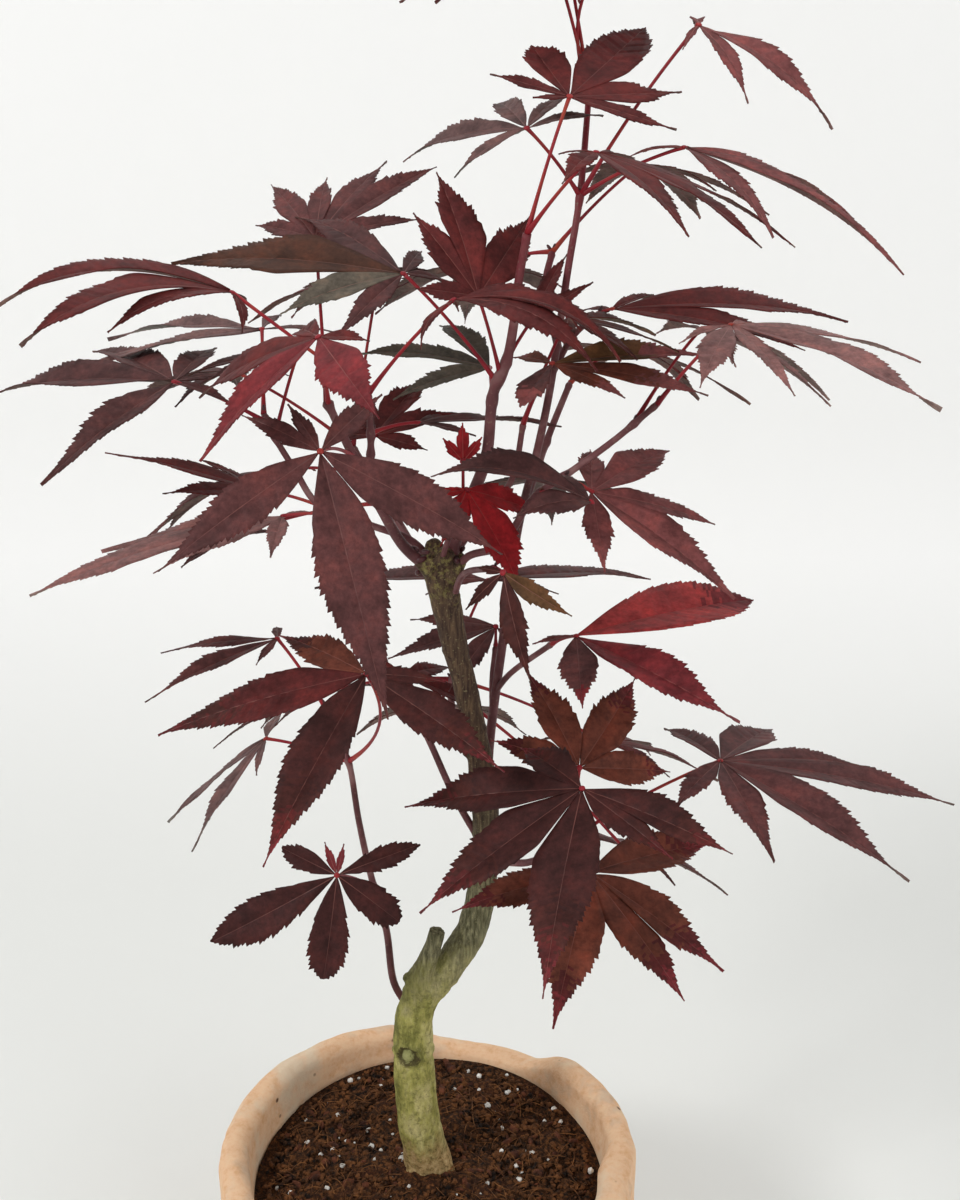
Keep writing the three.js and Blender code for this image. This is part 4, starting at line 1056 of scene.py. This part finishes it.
def trunk_rods():
    """The trunk, its stub, its left knob, its root flare and the swellings under the shoots, as rods."""
    joined = Joined()
    small = rod_template(*SHORT_ROD)
    steps = ring_shares(SHORT_ROD)
    for points, rod in ((TRUNK, TRUNK_ROD), (STUB, SHORT_ROD)):
        route, shares = Route(points), ring_shares(rod)
        joined.add(*along_rod(rod_template(*rod), route.at(shares), route.radii(points, shares)))
    joined.add(*along_rod(small, Route(KNOB).at(steps), np.linspace(*KNOB_RADII, len(steps))))
    places, faces = lump_template(4)
    for x, y, z, radius in COLLAR_LUMPS:
        joined.add(places * radius + (x, y, z), faces)
    for direction, reach in ROOTS:
        x, y = (math.cos(math.radians(direction)) * reach, math.sin(math.radians(direction)) * reach)
        route = Route([(-1, 1, ROOT_TOP), (x * 0.45, y * 0.45, 91), (x, y, 82)])
        joined.add(*along_rod(small, route.at(steps), np.linspace(*ROOT_RADII, len(steps))))
    for stem in SHOOTS:
        if stem["carrier"] == "trunk":
            route = Route(stem["route"])
            line = route.at(np.linspace(0, SWELLING_REACH / route.length, len(steps)))
            thick = [stem["radii"][0] + more for more in SWELLING_RADII]
            joined.add(*along_rod(small, line, np.linspace(*thick, len(steps))))
    return joined


def bark_relief(mesh):
    """Pushes the bark in and out: long soft lumps, fine streaks, old ring scars and a knot."""
    places, normals = (np.empty(len(mesh.vertices) * 3) for _ in range(2))
    mesh.vertices.foreach_get("co", places)
    mesh.vertices.foreach_get("normal", normals)
    places, normals = places.reshape(-1, 3) / MM, normals.reshape(-1, 3)
    knot = Vector(KNOT)
    pushes = []
    for place in map(Vector, places):
        # Lumps are about 7 mm wide, and streaks 1.7 and 0.8 mm wide and drawn out upward
        drawn = Vector((place.x, place.y, place.z * 0.4))
        push = noise.noise(place / 7) * 0.35 + noise.noise(drawn / 1.7) * 0.2
        push += noise.noise(drawn / 0.8) * 0.1
        for scar, height in RING_SCARS:
            push += height * math.exp(-((place.z - scar + noise.noise(place / 4) * 1.4) / 0.7) ** 2)
        # The knot is an eye with a raised rim round a sunk ring and a blunt middle
        away = math.dist((place.x * 0.85, place.y, place.z), (knot.x * 0.85, knot.y, knot.z))
        away += noise.noise(place / 2.5) * 1.1
        push += 0.85 * math.exp(-((away - 3.5) / 0.65) ** 2) - 0.8 * math.exp(-((away - 2.2) / 0.6) ** 2)
        push += 0.35 * math.exp(-(away / 1.1) ** 2)
        pushes.append(push)
    mesh.vertices.foreach_set("co", ((places + normals * np.array(pushes)[:, None]) * MM).ravel())


def voxel_mesh(joined, name, size):
    """The union of joined rods as one even mesh."""
    rough = joined.build(name + "_rods", [])
    remesh = rough.modifiers.new("even", "REMESH")
    remesh.mode = "VOXEL"
    remesh.voxel_size = size
    soften = rough.modifiers.new("soften", "SMOOTH")
    soften.iterations = 4
    graph = bpy.context.evaluated_depsgraph_get()
    mesh = bpy.data.meshes.new_from_object(rough.evaluated_get(graph))
    mesh.name = name
    bpy.data.objects.remove(rough)
    return mesh


# Operators

class MAPLE_OT_pot(bpy.types.Operator):
    """Makes the hand-made clay pot"""
    bl_idname = "maple.pot"
    bl_label = "Clay pot"

    def execute(self, context):
        settings = context.scene.maple_pot
        bm = spun(fill_in(pot_profile(), POT_SPACING), settings.steps)
        shape_pot(bm, settings.unevenness / MM)
        made = finish_mesh(bm, "clay_pot", [new_material("earthenware", fired_clay, settings)])
        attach(made, "root")
        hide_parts("pot")
        return {"FINISHED"}


class MAPLE_OT_soil(bpy.types.Operator):
    """Makes the compost with its crumbs, bark bits, fibres and perlite"""
    bl_idname = "maple.soil"
    bl_label = "Compost"

    def execute(self, context):
        settings = context.scene.maple_soil
        rng = np.random.default_rng(settings.seed)
        inner = [(outer_radius(height) - WALL - 0.3, height) for height in (9.3, 18, 35, 60, 80.5)]
        profile = [(0, 9.3)] + inner + [(44, 83.4), (18, SOIL_HEIGHT), (0, SOIL_HEIGHT)]
        bm = spun(fill_in(profile, SOIL_SPACING), SOIL_STEPS)
        shape_soil(bm)
        made = finish_mesh(bm, "compost_bed", [new_material("compost", compost, settings)])
        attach(made, "root")
        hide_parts("soil")
        bits = [
            new_material(name, clouded, 3, 3, [(0.35, dull), (0.65, bright)],
                         {"Roughness": roughness, "Specular IOR Level": 0.3}, 0.5)
            for name, (dull, bright, roughness) in LOOSE_MATTER.items()]
        joined = Joined()
        small, round_lump = lump_template(1), lump_template(2)
        scatter_lumps(joined, settings.crumbs, (0.25, 1.35), (0.4, 0.9), 0, rng, small)
        bark_bits = settings.crumbs // CRUMBS_A_BARK_BIT
        scatter_lumps(joined, bark_bits, (0.7, 2.4), (0.25, 0.6), 1, rng, small)
        scatter_lumps(joined, PERLITE_GRAINS, (0.35, 1.35), (0.7, 1), 3, rng, round_lump, sink=0.15)
        fibre = rod_template(4, FIBRE_RINGS)
        scatter_fibres(joined, settings.fibres, (3, 10), (0.07, 0.16), 2, rng, fibre)
        made = joined.build("compost_bits", bits, smooth=False)
        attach(made, "root")
        return {"FINISHED"}


class MAPLE_OT_trunk(bpy.types.Operator):
    """Makes the trunk with its stub, knot, root flare and bark relief"""
    bl_idname = "maple.trunk"
    bl_label = "Trunk"

    def execute(self, context):
        settings = context.scene.maple_trunk
        mesh = voxel_mesh(trunk_rods(), "trunk_bark", settings.voxel)
        bark_relief(mesh)
        bm = bmesh.new()
        bm.from_mesh(mesh)
        bpy.data.meshes.remove(mesh)
        bmesh.ops.bisect_plane(bm, geom=bm.verts[:] + bm.edges[:] + bm.faces[:], dist=1e-6,
                               plane_co=(0, 0, (SOIL_HEIGHT - 2) * MM), plane_no=(0, 0, 1), clear_inner=True)
        rim = [edge for edge in bm.edges if edge.is_boundary]
        bmesh.ops.holes_fill(bm, edges=rim, sides=0)
        made = finish_mesh(bm, "trunk_bark", [new_material("maple_bark", trunk_bark, settings)], scale=1)
        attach(made, "root")
        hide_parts("trunk")
        return {"FINISHED"}


class MAPLE_OT_shoots(bpy.types.Operator):
    """Makes the young stems, the leaf stalks and the buds"""
    bl_idname = "maple.shoots"
    bl_label = "Shoots and stalks"

    def execute(self, context):
        stems, stalks, buds = Joined(), Joined(), Joined()
        stem_rod, stalk_rod = rod_template(*STEM_ROD), rod_template(*STALK_ROD)
        places, faces = lump_template(3)
        rng = np.random.default_rng(BUD_SEED)
        shares, steps = ring_shares(STEM_ROD), ring_shares(STALK_ROD)
        for stem in SHOOTS:
            route = Route(stem["route"])
            radii = np.interp(shares, (0, 1), stem["radii"])
            for node in sorted({shape["at"] for shape in stem["leaves"]}):
                radii += NODE_SWELL * np.exp(-(((shares - node) * route.length) / NODE_SPREAD) ** 2)
            radii *= np.sqrt(np.clip((1.01 - shares) * route.length / STEM_TIP, 0, 1))
            stems.add(*along_rod(stem_rod, route.at(shares), radii))
            for shape in stem["leaves"]:
                line = stalk_line(route, shape, steps)
                thick = STALK_RADIUS + STALK_FOOT * (1 - steps) ** 6 + STALK_HEAD * steps ** 12
                stalks.add(*along_rod(stalk_rod, line, thick))
                along, up, right = leaf_axes(shape)
                hub = (places * KNUCKLE) @ np.array([along, right, up])
                stalks.add(hub + np.array(shape["hub"]) + up * 0.05, faces)
                bud_at = route.at(shape["at"])
                lean = unit(line[3] - line[0]) * 0.8 + (0, 0, 0.9)
                bud = places * BUD * rng.uniform(0.7, 1.05)
                buds.add(bud @ turn_toward(lean).T + bud_at + unit(lean) * 1.4, faces)
        for x, y, z, size in COLLAR_BUDS:
            buds.add((places * COLLAR_BUD * size) @ turn_toward(rng.normal(size=3)).T + (x, y, z), faces)
        pieces = [
            (stems.build("young_stems", [new_material("maple_young_bark", shoot_skin)]), "shoot_bark"),
            (stalks.build("leaf_stalks", [new_material("maple_stalk", clouded, *STALK_SKIN)]), "foliage"),
            (buds.build("buds", [new_material("maple_bud", clouded, *BUD_SKIN)]), "shoot_bark"),
        ]
        for made, slot in pieces:
            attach(made, "root")
        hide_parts(*[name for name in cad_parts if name.endswith("_stem")])
        return {"FINISHED"}


# Leaves are joined by part of the crown, so that each piece stays light
LEAF_PIECES = {
    "leaves_top": ("leader", "back_high"),
    "leaves_crown": ("crown", "middle", "collar_young", "leader_side"),
    "leaves_right": ("right", "back_right", "leader_front", "collar_front"),
    "leaves_left": ("left", "left_upper"),
    "leaves_far_left": ("far_left", "back_left"),
    "leaves_low_left": ("low_left", "low_inner", "leader_back"),
    "leaves_low_right": ("low_right", "back_low"),
}


class MAPLE_OT_leaves(bpy.types.Operator):
    """Makes the leaves, each lobe toothed, folded along its midrib and drooping to its tip"""
    bl_idname = "maple.leaves"
    bl_label = "Leaves"

    def execute(self, context):
        settings = context.scene.maple_leaf
        uppers, lowers, ribs = {}, {}, {}
        for tint, (upper, lower) in LEAF_TINTS.items():
            uppers[tint] = new_material("maple_leaf_%s_upper" % tint, leaf_skin, upper, True)
            lowers[tint] = new_material("maple_leaf_%s_lower" % tint, leaf_skin, lower, False)
            ribs[tint] = new_material("maple_rib_%s" % tint, rib_skin, upper)
        rng = np.random.default_rng(LEAF_SEED)
        stems = {stem["name"]: stem for stem in SHOOTS}
        for piece, names in LEAF_PIECES.items():
            joined = Joined()
            shapes = [shape for name in names for shape in stems[name]["leaves"]]
            tints = sorted({tint for shape in shapes
                            for tint in (shape["tint"], *shape["tips"].values(), *shape["odd"].values())})
            for shape in shapes:
                lobes = sorted(shape["lobes"])
                for lobe, halves in zip(lobes, half_sectors(lobes)):
                    places, faces, on_rib, share = lobe_blade(shape, lobe, halves, settings, rng)
                    share = share + rng.uniform(-LOBE_JITTER, LOBE_JITTER)
                    share = share + rng.uniform(-FACE_JITTER, FACE_JITTER, len(share))
                    slot = np.full(len(share), tints.index(shape["odd"].get(lobe[0], shape["tint"])))
                    for begins, tip in shape["tips"].items():
                        slot[share > begins] = tints.index(tip)
                    joined.add(places, faces, slot + len(tints) * on_rib)
            skins = [kind[tint] for kind in (uppers, ribs, lowers, ribs) for tint in tints]
            made = joined.build(piece, skins)
            thick = made.modifiers.new("thickness", "SOLIDIFY")
            thick.thickness = settings.thickness
            thick.offset = -1
            thick.material_offset = 2 * len(tints)
            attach(made, "root")
            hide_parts(*[name + "_foliage" for name in names])
        return {"FINISHED"}


# The stage in metres: the paper's front edge, where it bends up, how wide the bend is, its top and side
PAPER_FRONT = -2.5
PAPER_BEND = 0.3
BEND_RADIUS = 0.2
PAPER_TOP = 2.2
PAPER_SIDE = 3
SKY_STRENGTH = 0.45
# Lights: name, place, size and power, all aimed at the middle of the plant
LIGHTS = [("key", (-1.0, -0.85, 1.25), 0.35, 10.5), ("fill", (1.2, -1.4, 0.9), 1.2, 8.5),
          ("top", (0.2, 0.1, 1.9), 1.0, 6)]
LIGHTS_AIM = (0.01, 0, 0.25)
CAMERA_FRAME = 36
CAMERA_DIP = 21


class MAPLE_OT_stage(bpy.types.Operator):
    """Sets the floor, backdrop, lights and camera"""
    bl_idname = "maple.stage"
    bl_label = "Stage"

    def execute(self, context):
        settings = context.scene.maple_stage
        run = [(y, 0) for y in np.linspace(PAPER_FRONT, PAPER_BEND, 12)]
        run += [(PAPER_BEND + BEND_RADIUS * math.sin(bend), BEND_RADIUS * (1 - math.cos(bend)))
                for bend in np.linspace(0.1, math.pi / 2, 16)]
        run += [(PAPER_BEND + BEND_RADIUS, PAPER_TOP)]
        bm, _, edges = line_bmesh([(-PAPER_SIDE, y, z) for y, z in run])
        swept = bmesh.ops.extrude_edge_only(bm, edges=edges)["geom"]
        far = [item for item in swept if isinstance(item, bmesh.types.BMVert)]
        bmesh.ops.translate(bm, vec=(2 * PAPER_SIDE, 0, 0), verts=far)
        bmesh.ops.recalc_face_normals(bm, faces=bm.faces[:])
        if sum(face.normal.z for face in bm.faces) < 0:
            bmesh.ops.reverse_faces(bm, faces=bm.faces[:])
        paper = new_material("studio_paper", stage_paper, settings)
        finish_mesh(bm, "studio_paper", [paper], scale=1)
        world = bpy.data.worlds.new("studio")
        world.use_nodes = True
        sky = world.node_tree.nodes["Background"].inputs
        sky["Color"].default_value = colour("#ffffff")
        sky["Strength"].default_value = SKY_STRENGTH
        context.scene.world = world
        for name, place, size, power in LIGHTS:
            data = bpy.data.lights.new(name, "AREA")
            data.size = size
            data.energy = power
            light = bpy.data.objects.new(name, data)
            light.location = place
            ahead = Vector(LIGHTS_AIM) - light.location
            light.rotation_euler = ahead.to_track_quat("-Z", "Y").to_euler()
            context.scene.collection.objects.link(light)
        data = bpy.data.cameras.new("camera")
        data.sensor_width = CAMERA_FRAME
        data.lens = settings.lens
        data.clip_start, data.clip_end = 0.01, 30
        camera = bpy.data.objects.new("camera", data)
        camera.location = [float(part) * MM for part in settings.camera_mm.split(",")]
        camera.rotation_euler = (math.radians(90 - CAMERA_DIP), 0, 0)
        context.scene.collection.objects.link(camera)
        context.scene.camera = camera
        context.scene.view_settings.view_transform = "Standard"
        return {"FINISHED"}


class MAPLE_PT_panel(bpy.types.Panel):
    """Lists the maple's pieces and settings"""
    bl_idname = "MAPLE_PT_panel"
    bl_label = "Potted red maple"
    bl_space_type = "VIEW_3D"
    bl_region_type = "UI"
    bl_category = "Maple"

    def draw(self, context):
        for group in ("maple_pot", "maple_soil", "maple_trunk", "maple_leaf", "maple_stage"):
            box = self.layout.box()
            settings = getattr(context.scene, group)
            for name in settings.bl_rna.properties.keys():
                if name not in ("rna_type", "name"):
                    box.prop(settings, name)
        for operator in OPERATORS:
            self.layout.operator(operator.bl_idname)


GROUPS = {
    "maple_pot": PotSettings, "maple_soil": SoilSettings, "maple_trunk": TrunkSettings,
    "maple_leaf": LeafSettings, "maple_stage": StageSettings,
}
OPERATORS = [MAPLE_OT_stage, MAPLE_OT_pot, MAPLE_OT_soil, MAPLE_OT_trunk, MAPLE_OT_shoots, MAPLE_OT_leaves]


def register():
    """Registers the classes and hangs the settings on the scene."""
    for made in [*GROUPS.values(), *OPERATORS, MAPLE_PT_panel]:
        bpy.utils.register_class(made)
    for name, group in GROUPS.items():
        setattr(bpy.types.Scene, name, PointerProperty(type=group))


def unregister():
    """Takes the settings and classes away again."""
    for name in GROUPS:
        delattr(bpy.types.Scene, name)
    for made in [MAPLE_PT_panel, *reversed(OPERATORS), *GROUPS.values()]:
        bpy.utils.unregister_class(made)


def main():
    """Makes every piece."""
    register()
    for operator in OPERATORS:
        group, name = operator.bl_idname.split(".")
        getattr(getattr(bpy.ops, group), name)()


if __name__ == "__main__":
    main()
